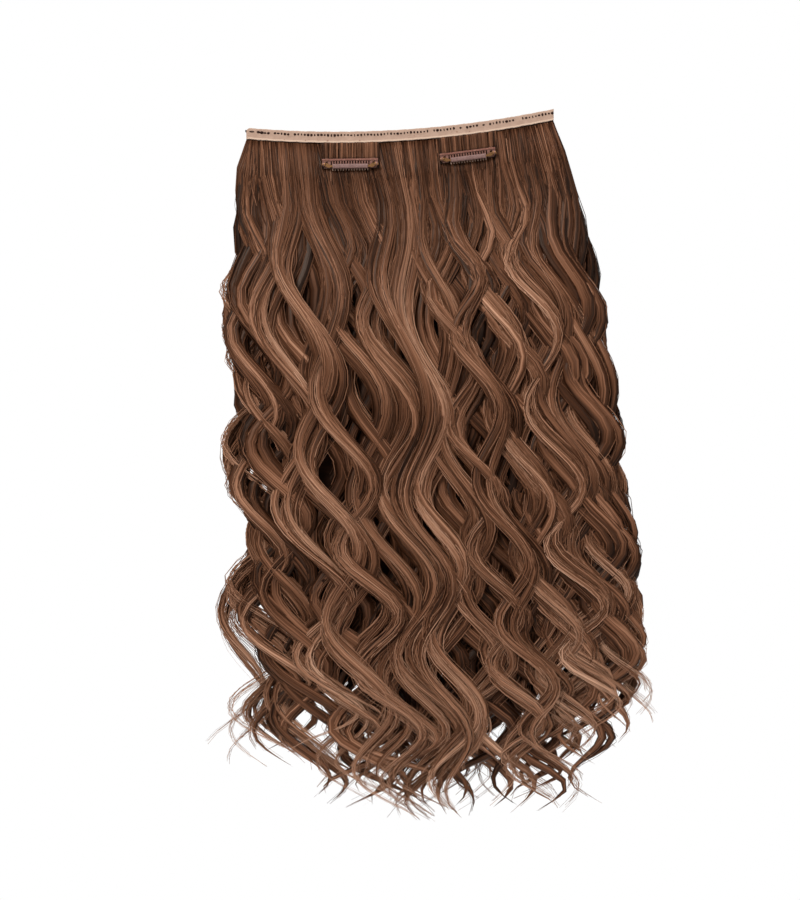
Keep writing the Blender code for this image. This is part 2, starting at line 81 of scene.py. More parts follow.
# The waves, roots and tips of the finer locks
LOCK_SWING = 0.0112
LOCK_TIP = 0.0008
WAVE_WIDENING = 0.42
WAVE_DEPTH = 0.15
WAVE_WANDER = 0.06
CROWDING = 0.72
ROOT_DROP = 0.0035
ROOT_LIMIT = 0.965
CURL_START = 0.84
CURL_END = 1.04
TAPER_END = 1.02

# The snap clips, as in the part
CLIP_LEFT_X = -0.0339
CLIP_RIGHT_X = 0.0457
CLIP_DROP = 0.0187
CLIP_LENGTH = 0.0380
COMB_HEIGHT = 0.0079
COMB_FACE = 0.0006
WING_LENGTH = 0.0062
WING_HEIGHT = 0.0063
SEWING_HOLE_DROP = 0.0026
TAB_THICKNESS = 0.0010
TAB_MARGIN = 0.0006

# Sizes that follow from the ones above
HALF_SPAN = TAPE_SPAN / 2
HALF_DEPTH = FALL_DEPTH / 2
SLOT_HALF = WEFT_THICKNESS / 2 + SEAT_GAP
TAPE_HALF = SLOT_HALF + TAPE_WALL
ROOT_HALF_THICKNESS = 0.45 * WEFT_THICKNESS
TAB_FRONT = -SLOT_HALF - TAB_THICKNESS
CLIP_FREE_DROP = CLIP_DROP + COMB_HEIGHT + TAPE_HEIGHT / 2
WAVES_FULL_DROP = CLIP_DROP + 3.2 * CLIP_FREE_DROP

FORWARD = np.array((0.0, 1.0, 0.0))

Stops = tuple[tuple[float, tuple[float, float, float]], ...]


def tape_top(x: np.ndarray | float) -> np.ndarray | float:
    """Height of the tape's top edge at x: a sag between the ends, tilted up to the right."""
    share = x / HALF_SPAN
    return TAPE_SAG * share**2 + TAPE_RISE / 2 * share


def tape_slope(x: float) -> float:
    """Slope of the tape's edge at x."""
    return (2 * TAPE_SAG * x / HALF_SPAN + TAPE_RISE / 2) / HALF_SPAN


def smooth_step(value: np.ndarray | float, start: float, end: float) -> np.ndarray:
    """Rises smoothly from 0 before start to 1 past end.

    Args:
        value: what is compared with start and end.
        start: where the rise begins.
        end: where it ends.

    Returns:
        The height of the step at each value.
    """
    share = np.clip((value - start) / (end - start), 0.0, 1.0)
    return share * share * (3 - 2 * share)


def unit(vectors: np.ndarray) -> np.ndarray:
    """Vectors of length one along the last axis."""
    return vectors / np.maximum(np.linalg.norm(vectors, axis=-1, keepdims=True), 1e-12)


def path_frames(paths: np.ndarray) -> tuple[np.ndarray, np.ndarray]:
    """Two directions across a path at each of its points.

    Args:
        paths: points, with the run of a path on the axis before the last.

    Returns:
        The direction to the side and the one to the front, both square to the path.
    """
    along = unit(np.gradient(paths, axis=-2))
    sideways = unit(np.cross(along, FORWARD))
    return sideways, np.cross(along, sideways)


class Layer(Enum):
    """Which part of the fall a lock belongs to."""

    FRONT = "front"
    MIDDLE = "middle"
    BACK = "back"
    WISP = "wisp"


@dataclass(frozen=True)
class Lock:
    """One lock of hair. Places are shares of the tape's half span, drops of the fall's length."""

    root: float
    tip: float
    crest: float
    pitch: float
    swing: float
    depth: float
    girth: float
    reach: float
    tighten: float = WAVE_TIGHTENING
    bow: float = 1.0
    full_until: float = 0.81
    tone: float = 0.5
    twist: float = 0.0
    hook: float = 0.0
    sway: float = 0.0
    seed: int = 0

    def drop(self, share: np.ndarray) -> np.ndarray:
        """Depth below the tape's top edge at a share of the lock's length."""
        return ROOT_DROP + (self.reach * FALL_LENGTH - ROOT_DROP) * share

    def turns(self, share: np.ndarray) -> np.ndarray:
        """Waves passed since the first crest to the right, with a slow irregularity."""
        fall = self.drop(share) / FALL_LENGTH
        beyond = fall - self.crest
        even = (beyond + 0.5 * self.tighten * beyond * np.abs(beyond)) / self.pitch
        return even + WAVE_WANDER * np.sin(2 * math.pi * 1.3 * fall + self.sway)

    def spread(self, share: np.ndarray) -> np.ndarray:
        """How far the lock stands at its own depth: 0 in the tape, 1 in the full fall."""
        drop = self.drop(share)
        gather = 1 - GATHER_SHARE * smooth_step(drop / FALL_LENGTH, GATHER_START, 1.0)
        return smooth_step(drop, CLIP_FREE_DROP, SPREAD_END * FALL_LENGTH) * gather

    def centre(self, share: np.ndarray) -> np.ndarray:
        """Points on the lock's middle line.

        Args:
            share: places along the lock, 0 in the tape and 1 at the tip.

        Returns:
            One point for each place.
        """
        drop = self.drop(share)
        fall = drop / FALL_LENGTH
        angle = 2 * math.pi * self.turns(share)
        loosening = smooth_step(drop, CLIP_DROP, WAVES_FULL_DROP)
        swing = LOCK_SWING * self.swing * loosening * (1 + WAVE_WIDENING * fall**2)
        limit = min(ROOT_LIMIT, 0.985 - 0.42 * LOCK_WIDTH * self.girth / HALF_SPAN)
        anchor = min(limit, max(-limit, self.root)) * HALF_SPAN
        flare = smooth_step(drop, 0.7 * TAPE_HEIGHT, 1.3 * CLIP_DROP)
        root_x = anchor + (self.root * HALF_SPAN - anchor) * flare
        drift = (self.tip - self.root) * HALF_SPAN * (fall / self.reach) ** self.bow * flare
        curl = smooth_step(share, CURL_START, CURL_END) ** 1.5
        x = root_x + drift + swing * np.cos(angle) + self.hook * curl
        y = self.spread(share) * (self.depth * HALF_DEPTH + WAVE_DEPTH * swing * np.sin(angle))
        _, half_thickness = self.section(share)
        behind_clips = 1 - smooth_step(drop, CLIP_FREE_DROP, WAVES_FULL_DROP)
        y = y + (half_thickness - ROOT_HALF_THICKNESS) * behind_clips
        z = tape_top(anchor) - drop + 0.7 * abs(self.hook) * curl
        return np.stack((x, y, z), axis=-1)

    def section(self, share: np.ndarray) -> tuple[np.ndarray, np.ndarray]:
        """The size of the lock's section.

        Args:
            share: places along the lock.

        Returns:
            Half the width and half the thickness at each place.
        """
        drop = self.drop(share)
        swell = 0.80 + 0.28 * np.sin(math.pi * np.minimum(1.0, share / 0.87))
        taper = 1 - smooth_step(share, self.full_until, TAPER_END)
        pinch = 1 - 0.25 * np.abs(np.sin(math.pi * self.turns(share))) * smooth_step(share, 0.1, 0.3)
        width = LOCK_TIP + (LOCK_WIDTH * self.girth * swell * pinch - LOCK_TIP) * taper
        full = LOCK_THICKNESS * self.girth * swell
        spread = smooth_step(drop, CLIP_FREE_DROP, SPREAD_END * FALL_LENGTH)
        root = 0.0009 + 0.0012 * smooth_step(drop, TAPE_HEIGHT, CLIP_DROP)
        thickness = LOCK_TIP + (root + (full - root) * spread - LOCK_TIP) * taper
        return width / 2, np.minimum(thickness, 2 * width) / 2

    def turned_frames(self, share: np.ndarray) -> tuple[np.ndarray, np.ndarray, np.ndarray]:
        """The middle line and the directions across it, rolled as the lock twists.

        Args:
            share: places along the lock.

        Returns:
            Points on the middle line, and the directions of the lock's width and thickness there.
        """
        centre = self.centre(share)
        sideways, front = path_frames(centre)
        roll = self.twist * np.sin(2 * math.pi * self.turns(share)) * self.spread(share)
        cosine, sine = np.cos(roll)[:, None], np.sin(roll)[:, None]
        return centre, sideways * cosine + front * sine, front * cosine - sideways * sine

    def body_rings(self, levels: int, sides: int) -> np.ndarray:
        """Rings of a skin round the lock.

        Args:
            levels: rings along the lock.
            sides: corners in a ring.

        Returns:
            Points by level and side.
        """
        share = np.linspace(0.0, 1.0, levels) ** CROWDING
        centre, wide, deep = self.turned_frames(share)
        half_width, half_thickness = self.section(share)
        angles = 2 * math.pi * np.arange(sides) / sides
        full = (0.9 * (1 - smooth_step(share, 0.10 + self.full_until, 1.0)) + 0.02)[:, None]
        across = full * half_width[:, None] * np.cos(angles)
        forward = full * half_thickness[:, None] * np.sin(angles)
        return centre[:, None] + wide[:, None] * across[..., None] + deep[:, None] * forward[..., None]

    def strand_paths(
        self, count: int, levels: int, rng: np.random.Generator, stray: float = 1.0
    ) -> np.ndarray:
        """Routes of single strands on and round the lock.

        Args:
            count: how many strands.
            levels: points along each.
            rng: source of the seeded variation.
            stray: how far the strands wander from the lock.

        Returns:
            Points by strand and level.
        """
        ends = 1.01 - 0.16 * rng.uniform(size=count) ** 1.5
        base = np.linspace(0.0, 1.0, levels) ** CROWDING
        angles = rng.uniform(-0.3, math.pi + 0.3, count)
        angles = np.where(rng.uniform(size=count) < 0.22, -angles, angles)
        radii = rng.uniform(0.82, 1.06, count)
        phases = rng.uniform(0.0, 2 * math.pi, (count, 4))
        rates = rng.uniform(1.2, 3.6, (count, 2))
        paths = np.empty((count, levels, 3))
        for k in range(count):
            share = base * ends[k]
            centre, wide, deep = self.turned_frames(share)
            half_width, half_thickness = self.section(share)
            angle = angles[k] + 0.35 * np.sin(2 * math.pi * rates[k, 0] * share + phases[k, 0])
            loose = stray * (0.0003 + 0.0014 * share**2) * (1 - 0.6 * smooth_step(share, 0.84, 1.0))
            aside = loose * np.sin(2 * math.pi * rates[k, 1] * share + phases[k, 1])
            ahead = 0.6 * loose * np.sin(2 * math.pi * rates[k, 1] * share + phases[k, 2])
            across = half_width * radii[k] * np.cos(angle) + aside
            forward = half_thickness * radii[k] * np.sin(angle) + ahead * self.spread(share)
            paths[k] = centre + wide * across[:, None] + deep * forward[:, None]
        return paths

    def tresses(self, count: int, rng: np.random.Generator) -> list[Lock]:
        """Finer locks that lie side by side across this one.

        Args:
            count: how many.
            rng: source of the seeded variation.

        Returns:
            The finer locks.
        """
        finer = []
        half_width = 0.5 * LOCK_WIDTH * self.girth / HALF_SPAN
        share = 1.0 / count
        for k in range(count):
            place = (2 * k + 1) * share - 1 if count > 1 else 0.0
            offset = 0.85 * place * half_width
            finer.append(replace(
                self,
                root=self.root + offset,
                tip=self.tip + 0.7 * offset + rng.normal(0.0, 0.024),
                crest=self.crest + 0.012 * place + rng.normal(0.0, 0.007),
                pitch=self.pitch * (1 + rng.normal(0.0, 0.009)),
                swing=self.swing * rng.uniform(0.85, 1.15),
                depth=self.depth + 0.22 * place**2 + rng.uniform(-0.08, 0.08),
                girth=self.girth * (0.10 + share * rng.uniform(0.95, 1.35)),
                reach=min(1.0, self.reach * rng.uniform(0.93, 1.04)),
                # The outer tresses, which lie deeper, get a lower tone: painted shade.
                tone=self.tone + 0.05 - 0.18 * place**2 + rng.normal(0.0, 0.06),
                twist=rng.uniform(0.1, 0.5),
                hook=rng.normal(-0.010 * self.tip, 0.013),
                sway=self.sway + rng.uniform(-0.5, 0.5),
                seed=int(rng.integers(1, 900)),
            ))
        return finer

    def between(self, other: Lock, **changes: float) -> Lock:
        """A lock half way to another one.

        Args:
            other: the lock on the far side.
            **changes: values that are set and not averaged.

        Returns:
            The new lock.
        """
        averaged = ("root", "tip", "crest", "pitch", "swing", "depth", "girth", "reach", "tighten", "bow")
        middle = {name: (getattr(self, name) + getattr(other, name)) / 2 for name in averaged}
        return replace(self, **{**middle, **changes})


FRONT_LOCKS = (
    Lock(root=-0.98, tip=-0.83, crest=0.181, pitch=0.205, swing=1.15, depth=-0.05, girth=0.95, reach=0.93,
         tighten=0.05, bow=2.0),
    Lock(root=-0.87, tip=-0.31, crest=0.127, pitch=0.367, swing=1.30, depth=-0.75, girth=1.05, reach=0.95,
         tighten=1.46, bow=1.37),
    Lock(root=-0.65, tip=0.05, crest=0.222, pitch=0.343, swing=1.13, depth=-0.95, girth=1.15, reach=1.00,
         tighten=1.71, bow=1.16),
    Lock(root=-0.34, tip=0.24, crest=0.410, pitch=0.283, swing=1.14, depth=-0.80, girth=1.15, reach=0.97,
         tighten=1.06, bow=0.70),
    Lock(root=-0.05, tip=0.44, crest=0.074, pitch=0.374, swing=1.04, depth=-0.95, girth=1.20, reach=0.98,
         tighten=1.14, bow=0.85),
    Lock(root=0.20, tip=0.90, crest=0.341, pitch=0.227, swing=0.96, depth=-0.90, girth=1.10, reach=0.97,
         tighten=1.28, bow=1.31),
    Lock(root=0.42, tip=1.14, crest=0.336, pitch=0.225, swing=0.90, depth=-0.80, girth=1.10, reach=0.94,
         tighten=0.88, bow=1.12),
    Lock(root=0.68, tip=1.32, crest=0.315, pitch=0.224, swing=1.10, depth=-0.75, girth=1.00, reach=0.91,
         tighten=1.03, bow=1.10),
    Lock(root=0.87, tip=1.42, crest=0.105, pitch=0.260, swing=0.95, depth=-0.40, girth=0.90, reach=0.87,
         tighten=1.20, bow=0.85),
    Lock(root=0.93, tip=1.50, crest=0.072, pitch=0.343, swing=0.75, depth=-0.05, girth=0.75, reach=0.88,
         tighten=1.64, bow=0.74),
)

BACK_LOCKS = (
    Lock(root=-0.95, tip=-1.04, crest=0.075, pitch=0.335, swing=0.95, depth=0.25, girth=0.55, reach=0.90),
    Lock(root=-0.76, tip=-0.45, crest=0.225, pitch=0.270, swing=0.90, depth=0.80, girth=1.05, reach=0.95),
    Lock(root=-0.48, tip=-0.12, crest=0.180, pitch=0.260, swing=0.90, depth=0.90, girth=1.10, reach=0.98),
    Lock(root=-0.20, tip=0.12, crest=0.230, pitch=0.280, swing=0.90, depth=0.85, girth=1.10, reach=0.97),
    Lock(root=0.08, tip=0.50, crest=0.190, pitch=0.250, swing=0.95, depth=0.90, girth=1.10, reach=0.99),
    Lock(root=0.36, tip=0.80, crest=0.160, pitch=0.245, swing=0.90, depth=0.85, girth=1.10, reach=0.95),
    Lock(root=0.62, tip=1.02, crest=0.175, pitch=0.240, swing=0.90, depth=0.80, girth=1.05, reach=0.91),
    Lock(root=0.86, tip=1.22, crest=0.140, pitch=0.225, swing=0.85, depth=0.55, girth=0.90, reach=0.88),
)


Layers = dict[Layer, list[Lock]]


@dataclass(frozen=True)
class StrandGroup:
    """The single strands on each lock: their number, rings along them, wandering and share of thickness."""

    per_lock: int
    levels: int
    stray: float = 1.0
    width: float = 1.0


@dataclass(frozen=True)
class CoreRow:
    """One level of the near-black mass behind the locks, painted shade in the gaps between them, in the
    same shares as a lock.
    """

    drop: float
    left: float
    right: float
    front: float
    back: float
    belly: float


CORE_ROWS = (
    CoreRow(drop=0.006, left=-0.99, right=0.99, front=-0.006, back=0.006, belly=0.00),
    CoreRow(drop=0.040, left=-0.985, right=0.985, front=-0.006, back=0.03, belly=0.00),
    CoreRow(drop=0.070, left=-0.96, right=0.97, front=-0.006, back=0.06, belly=0.00),
    CoreRow(drop=0.12, left=-0.95, right=0.98, front=-0.01, back=0.14, belly=0.00),
    CoreRow(drop=0.20, left=-0.91, right=1.00, front=-0.08, back=0.20, belly=0.00),
    CoreRow(drop=0.34, left=-0.91, right=1.08, front=-0.16, back=0.24, belly=0.00),
    CoreRow(drop=0.50, left=-0.88, right=1.15, front=-0.18, back=0.24, belly=0.00),
    CoreRow(drop=0.64, left=-0.80, right=1.14, front=-0.14, back=0.16, belly=0.02),
    CoreRow(drop=0.72, left=-0.72, right=1.06, front=-0.07, back=0.08, belly=0.05),
    CoreRow(drop=0.75, left=-0.64, right=0.98, front=-0.02, back=0.03, belly=0.07),
)


@dataclass(frozen=True)
class BuriedRow:
    """A row of wide locks behind the front ones, which closes the gaps between them; its lower tone is
    painted shade.
    """

    depth: float
    tone: float
    shift: float
    tresses: int


# Tones below the front locks' 0.48: painted shade of the hair behind.
BURIED_ROWS = (
    BuriedRow(depth=-0.50, tone=0.36, shift=-0.22, tresses=3),
    BuriedRow(depth=-0.25, tone=0.29, shift=0.10, tresses=3),
    BuriedRow(depth=0.38, tone=0.32, shift=0.40, tresses=2),
)


class NodeGraph:
    """A short way to lay out nodes."""

    def __init__(self, tree: bpy.types.NodeTree) -> None:
        """Takes the tree that the nodes go into."""
        self.tree = tree

    def add(self, kind: str, settings: dict | None = None, **sockets: object) -> bpy.types.Node:
        """Adds a node.

        Args:
            kind: the node's type.
            settings: properties of the node.
            **sockets: values or output sockets for its inputs, by name with _ for a space, or in0, in1.

        Returns:
            The node.
        """
        node = self.tree.nodes.new(kind)
        for name, value in (settings or {}).items():
            setattr(node, name, value)
        for name, value in sockets.items():
            numbered = name[:2] == "in" and name[2:].isdigit()
            self.feed(node.inputs[int(name[2:]) if numbered else name.replace("_", " ")], value)
        return node

    def feed(self, socket: bpy.types.NodeSocket, value: object) -> None:
        """Fills one input.

        Args:
            socket: the input.
            value: an output to link, or the input's own value.
        """
        if isinstance(value, bpy.types.NodeSocket):
            self.tree.links.new(value, socket)
        else:
            socket.default_value = value

    def math(self, operation: str, *values: object) -> bpy.types.NodeSocket:
        """One step of arithmetic.

        Args:
            operation: its name.
            *values: numbers or outputs.

        Returns:
            The result.
        """
        sockets = {f"in{i}": value for i, value in enumerate(values)}
        return self.add("ShaderNodeMath", {"operation": operation}, **sockets).outputs[0]


class FinishGraph(NodeGraph):
    """The nodes of one material."""

    def __init__(self, name: str) -> None:
        """Makes a material with a Principled shader and its output."""
        self.material = bpy.data.materials.new(name)
        self.material.use_nodes = True
        super().__init__(self.material.node_tree)
        self.shader = self.tree.nodes["Principled BSDF"]

    def ramp(self, factor: bpy.types.NodeSocket, stops: Stops) -> bpy.types.NodeSocket:
        """A colour ramp.

        Args:
            factor: what runs along it.
            stops: pairs of a place and a colour.

        Returns:
            The colour.
        """
        node = self.add("ShaderNodeValToRGB", Fac=factor)
        points = node.color_ramp.elements
        while len(points) < len(stops):
            points.new(1.0)
        for point, (place, colour) in zip(points, stops):
            point.position = place
            point.color = (*colour, 1.0)
        return node.outputs["Color"]

    def grey(self, factor: bpy.types.NodeSocket, *stops: tuple[float, float]) -> bpy.types.NodeSocket:
        """A ramp of plain numbers, from pairs of a place and a number."""
        return self.ramp(factor, tuple((place, (value, value, value)) for place, value in stops))

    def mix(self, factor: object, first: object, second: object) -> bpy.types.NodeSocket:
        """Mixes two colours.

        Args:
            factor: share of the second one.
            first: colour or output.
            second: colour or output.

        Returns:
            The mixed colour.
        """
        node = self.add("ShaderNodeMix", {"data_type": "RGBA"}, in0=factor, in6=first, in7=second)
        return node.outputs[2]

    def noise(self, vector: object, scale: float, detail: float = 3.0) -> bpy.types.NodeSocket:
        """The height of a noise pattern, from where it is read, its scale and its detail."""
        node = self.add("ShaderNodeTexNoise", Vector=vector, Scale=scale, Detail=detail, Roughness=0.55)
        return node.outputs["Fac"]

    def stretched(self, vector: object, *scale: float) -> bpy.types.NodeSocket:
        """A vector multiplied by a scale for each axis."""
        return self.add("ShaderNodeVectorMath", {"operation": "MULTIPLY"}, in0=vector, in1=scale).outputs[0]

    def bump(self, height: bpy.types.NodeSocket, strength: float, distance: float) -> bpy.types.NodeSocket:
        """A bump from a height, with its strength and its depth in metres."""
        node = self.add("ShaderNodeBump", Height=height, Strength=strength, Distance=distance)
        return node.outputs["Normal"]

    def attribute(self, name: str) -> bpy.types.Node:
        """Reads an attribute of the mesh."""
        return self.add("ShaderNodeAttribute", {"attribute_name": name, "attribute_type": "GEOMETRY"})

    def place(self) -> bpy.types.NodeSocket:
        """The point on the object, in its own coordinates."""
        return self.add("ShaderNodeTexCoord").outputs["Object"]

    def finish(self, **sockets: object) -> bpy.types.Material:
        """Feeds the shader.

        Args:
            **sockets: values or outputs for its inputs, by name with _ for a space.

        Returns:
            The material.
        """
        for name, value in sockets.items():
            self.feed(self.shader.inputs[name.replace("_", " ")], value)
        return self.material


@dataclass(frozen=True)
class HairFinish:
    """Glossy brown hair whose colour follows the tone of each strand, painted highlight and painted shade
    included, and runs in streaks.
    """

    name: str
    streaks_around: float
    streaks_along: float
    streak_strength: float
    roughness: float = 0.42
    specular: float = 0.12

    SHADES = (
        (0.00, (0.005, 0.0014, 0.0005)),
        (0.25, (0.034, 0.0120, 0.0050)),
        (0.50, (0.115, 0.048, 0.0245)),
        (0.75, (0.250, 0.127, 0.076)),
        (1.00, (0.390, 0.228, 0.150)),
    )

    def build(self) -> bpy.types.Material:
        """Makes the material.

        Returns:
            A material that reads the attributes tone and flow.
        """
        nodes = FinishGraph(self.name)
        tone = nodes.attribute("tone").outputs["Fac"]
        flow = nodes.attribute("flow").outputs["Vector"]
        around, along = self.streaks_around, self.streaks_along
        fine = nodes.noise(nodes.stretched(flow, around, along, 17.3), 1.0, 2.0)
        broad = nodes.noise(nodes.stretched(flow, around / 4, along, 7.9), 1.0, 2.0)
        fine_part = nodes.math("MULTIPLY", nodes.math("SUBTRACT", fine, 0.5), self.streak_strength)
        broad_part = nodes.math("MULTIPLY", nodes.math("SUBTRACT", broad, 0.5), 0.7 * self.streak_strength)
        shade = nodes.math("ADD", tone, nodes.math("ADD", fine_part, broad_part))
        return nodes.finish(
            Base_Color=nodes.ramp(shade, self.SHADES),
            Roughness=nodes.math("MULTIPLY_ADD", fine, 0.16, self.roughness - 0.08),
            Specular_IOR_Level=self.specular,
            Specular_Tint=(1.0, 0.80, 0.66, 1.0),
            Normal=nodes.bump(fine, 0.55, 0.0006),
        )


@dataclass(frozen=True)
class TapeFinish:
    """Tan woven tape with a paler rolled hem and a few brown specks."""

    name: str = "tan_tape"

    CLOTH = ((0.25, (0.200, 0.126, 0.090)), (0.75, (0.265, 0.176, 0.130)))
    HEM = (0.370, 0.265, 0.198, 1.0)
    STAIN = (0.13, 0.060, 0.036, 1.0)
    THREAD = (0.18, 0.11, 0.07, 1.0)
    # Pairs of the centimetres below the top edge and a strength
    HEM_LEVELS = ((0.0, 0.15), (0.12, 0.0), (0.62, 0.0), (0.69, 1.0), (0.75, 0.9), (0.77, 0.0))
    STAIN_LEVELS = ((0.40, 0.0), (0.50, 0.75), (0.66, 0.75), (0.72, 0.0))

    def build(self) -> bpy.types.Material:
        """Makes the material.

        Returns:
            A material that reads the drop below the tape's top edge, in millimetres, as tone.
        """
        nodes = FinishGraph(self.name)
        level = nodes.math("DIVIDE", nodes.attribute("tone").outputs["Fac"], 10.0)
        place = nodes.place()
        threads = nodes.noise(nodes.stretched(place, 2600.0, 500.0, 420.0), 1.0, 2.0)
        cross = nodes.noise(nodes.stretched(place, 300.0, 400.0, 3600.0), 1.0, 2.0)
        spots = nodes.noise(nodes.stretched(place, 420.0, 100.0, 330.0), 1.0, 1.0)
        hem = nodes.grey(level, *self.HEM_LEVELS)
        lower = nodes.grey(level, *self.STAIN_LEVELS)
        stained = nodes.math("MULTIPLY", nodes.grey(spots, (0.68, 0.0), (0.74, 1.0)), lower)
        ticks = nodes.math("MULTIPLY", nodes.math("SUBTRACT", threads, 0.5), 0.28)
        colour = nodes.mix(hem, nodes.ramp(nodes.noise(place, 260.0, 4.0), self.CLOTH), self.HEM)
        colour = nodes.mix(stained, colour, self.STAIN)
        return nodes.finish(
            Base_Color=nodes.mix(nodes.math("ADD", ticks, 0.10), colour, self.THREAD),
            Roughness=0.82,
            Normal=nodes.bump(nodes.math("ADD", threads, cross), 0.5, 0.0003),
            Sheen_Weight=0.15,
            Specular_IOR_Level=0.25,
        )


@dataclass(frozen=True)
class ThreadFinish:
    """Plain spun thread."""

    name: str
    colour: tuple[float, float, float]

    def build(self) -> bpy.types.Material:
        """Makes the material."""
        nodes = FinishGraph(self.name)
        fuzz = nodes.noise(nodes.place(), 1900.0, 2.0)
        darker = tuple(0.5 * part for part in self.colour)
        return nodes.finish(
            Base_Color=nodes.ramp(fuzz, ((0.3, darker), (0.7, self.colour))),
            Roughness=0.85,
            Specular_IOR_Level=0.08,
            Normal=nodes.bump(fuzz, 0.4, 0.0002),
        )


@dataclass(frozen=True)
class ClipFinish:
    """A finish whose pattern runs along a clip: it knows where the clip is and how it is tilted."""

    name: str
    centre: tuple[float, float, float]
    tilt: float

    def clip_place(self, nodes: FinishGraph) -> bpy.types.NodeSocket:
        """Where a point is on the clip.

        Args:
            nodes: the material's nodes.

        Returns:
            Coordinates along the clip, with z measured from the top of its spine.
        """
        return nodes.add(
            "ShaderNodeMapping", {"vector_type": "TEXTURE"},
            Vector=nodes.place(), Location=self.centre, Rotation=(0.0, -self.tilt, 0.0),
        ).outputs[0]


@dataclass(frozen=True)
class EnamelFinish(ClipFinish):
    """Reddish brown enamel over steel, paler along the spine and worn on the teeth's tips."""

    # Places are centimetres below the top of the spine
    LEVELS = (
        (0.00, (0.145, 0.058, 0.041)),
        (0.13, (0.120, 0.048, 0.034)),
        (0.17, (0.150, 0.066, 0.048)),
        (0.60, (0.095, 0.043, 0.031)),
        (0.70, (0.135, 0.080, 0.056)),
        (0.80, (0.210, 0.142, 0.103)),
    )
    WORN = (0.24, 0.125, 0.085, 1.0)

    def build(self) -> bpy.types.Material:
        """Makes the material."""
        nodes = FinishGraph(self.name)
        place = self.clip_place(nodes)
        height = nodes.add("ShaderNodeSeparateXYZ", Vector=place).outputs["Z"]
        enamel = nodes.ramp(nodes.math("MULTIPLY", height, -100.0), self.LEVELS)
        worn = nodes.noise(place, 900.0, 3.0)
        return nodes.finish(
            Base_Color=nodes.mix(nodes.grey(worn, (0.55, 0.0), (0.72, 0.6)), enamel, self.WORN),
            Specular_IOR_Level=0.30,
            Roughness=nodes.grey(worn, (0.3, 0.28), (0.7, 0.48)),
            Metallic=0.25,
            Normal=nodes.bump(worn, 0.25, 0.0002),
        )


@dataclass(frozen=True)
class SleeveFinish(ClipFinish):
    """Soft mauve brown silicone with fine ribs across it."""

    SILICONE = ((0.3, (0.082, 0.041, 0.034)), (0.7, (0.125, 0.067, 0.057)))
    RIB = (0.175, 0.102, 0.090, 1.0)
    RIB_PITCH = 0.0010

    def build(self) -> bpy.types.Material:
        """Makes the material."""
        nodes = FinishGraph(self.name)
        place = self.clip_place(nodes)
        along = nodes.add("ShaderNodeSeparateXYZ", Vector=place).outputs["X"]
        wave = nodes.math("SINE", nodes.math("MULTIPLY", along, 2 * math.pi / self.RIB_PITCH))
        ribs = nodes.math("MULTIPLY_ADD", wave, 0.5, 0.5)
        base = nodes.ramp(nodes.noise(place, 420.0, 3.0), self.SILICONE)
        return nodes.finish(
            Base_Color=nodes.mix(nodes.math("MULTIPLY", ribs, 0.30), base, self.RIB),
            Roughness=0.52,
            Specular_IOR_Level=0.25,
            Normal=nodes.bump(ribs, 0.6, 0.00025),
        )


@dataclass(frozen=True)
class BrassFinish:
    """Golden brass, worn and stained."""

    name: str = "worn_brass"

    SHADES = ((0.30, (0.15, 0.070, 0.032)), (0.60, (0.31, 0.158, 0.064)), (0.80, (0.52, 0.30, 0.12)))

    def build(self) -> bpy.types.Material:
        """Makes the material."""
        nodes = FinishGraph(self.name)
        stain = nodes.noise(nodes.place(), 800.0, 3.0)
        return nodes.finish(
            Base_Color=nodes.ramp(stain, self.SHADES),
            Roughness=nodes.grey(stain, (0.3, 0.42), (0.7, 0.24)),
            Metallic=1.0,
            Normal=nodes.bump(stain, 0.2, 0.0002),
        )


@dataclass(frozen=True)
class FloorFinish:
    """Plain matt white for the floor."""

    name: str = "pale_floor"

    def build(self) -> bpy.types.Material:
        """Makes the material."""
        return FinishGraph(self.name).finish(
            Base_Color=(0.93, 0.93, 0.93, 1.0),
            Roughness=0.9,
            Emission_Color=(1.0, 1.0, 1.0, 1.0),
            Emission_Strength=0.3,
        )


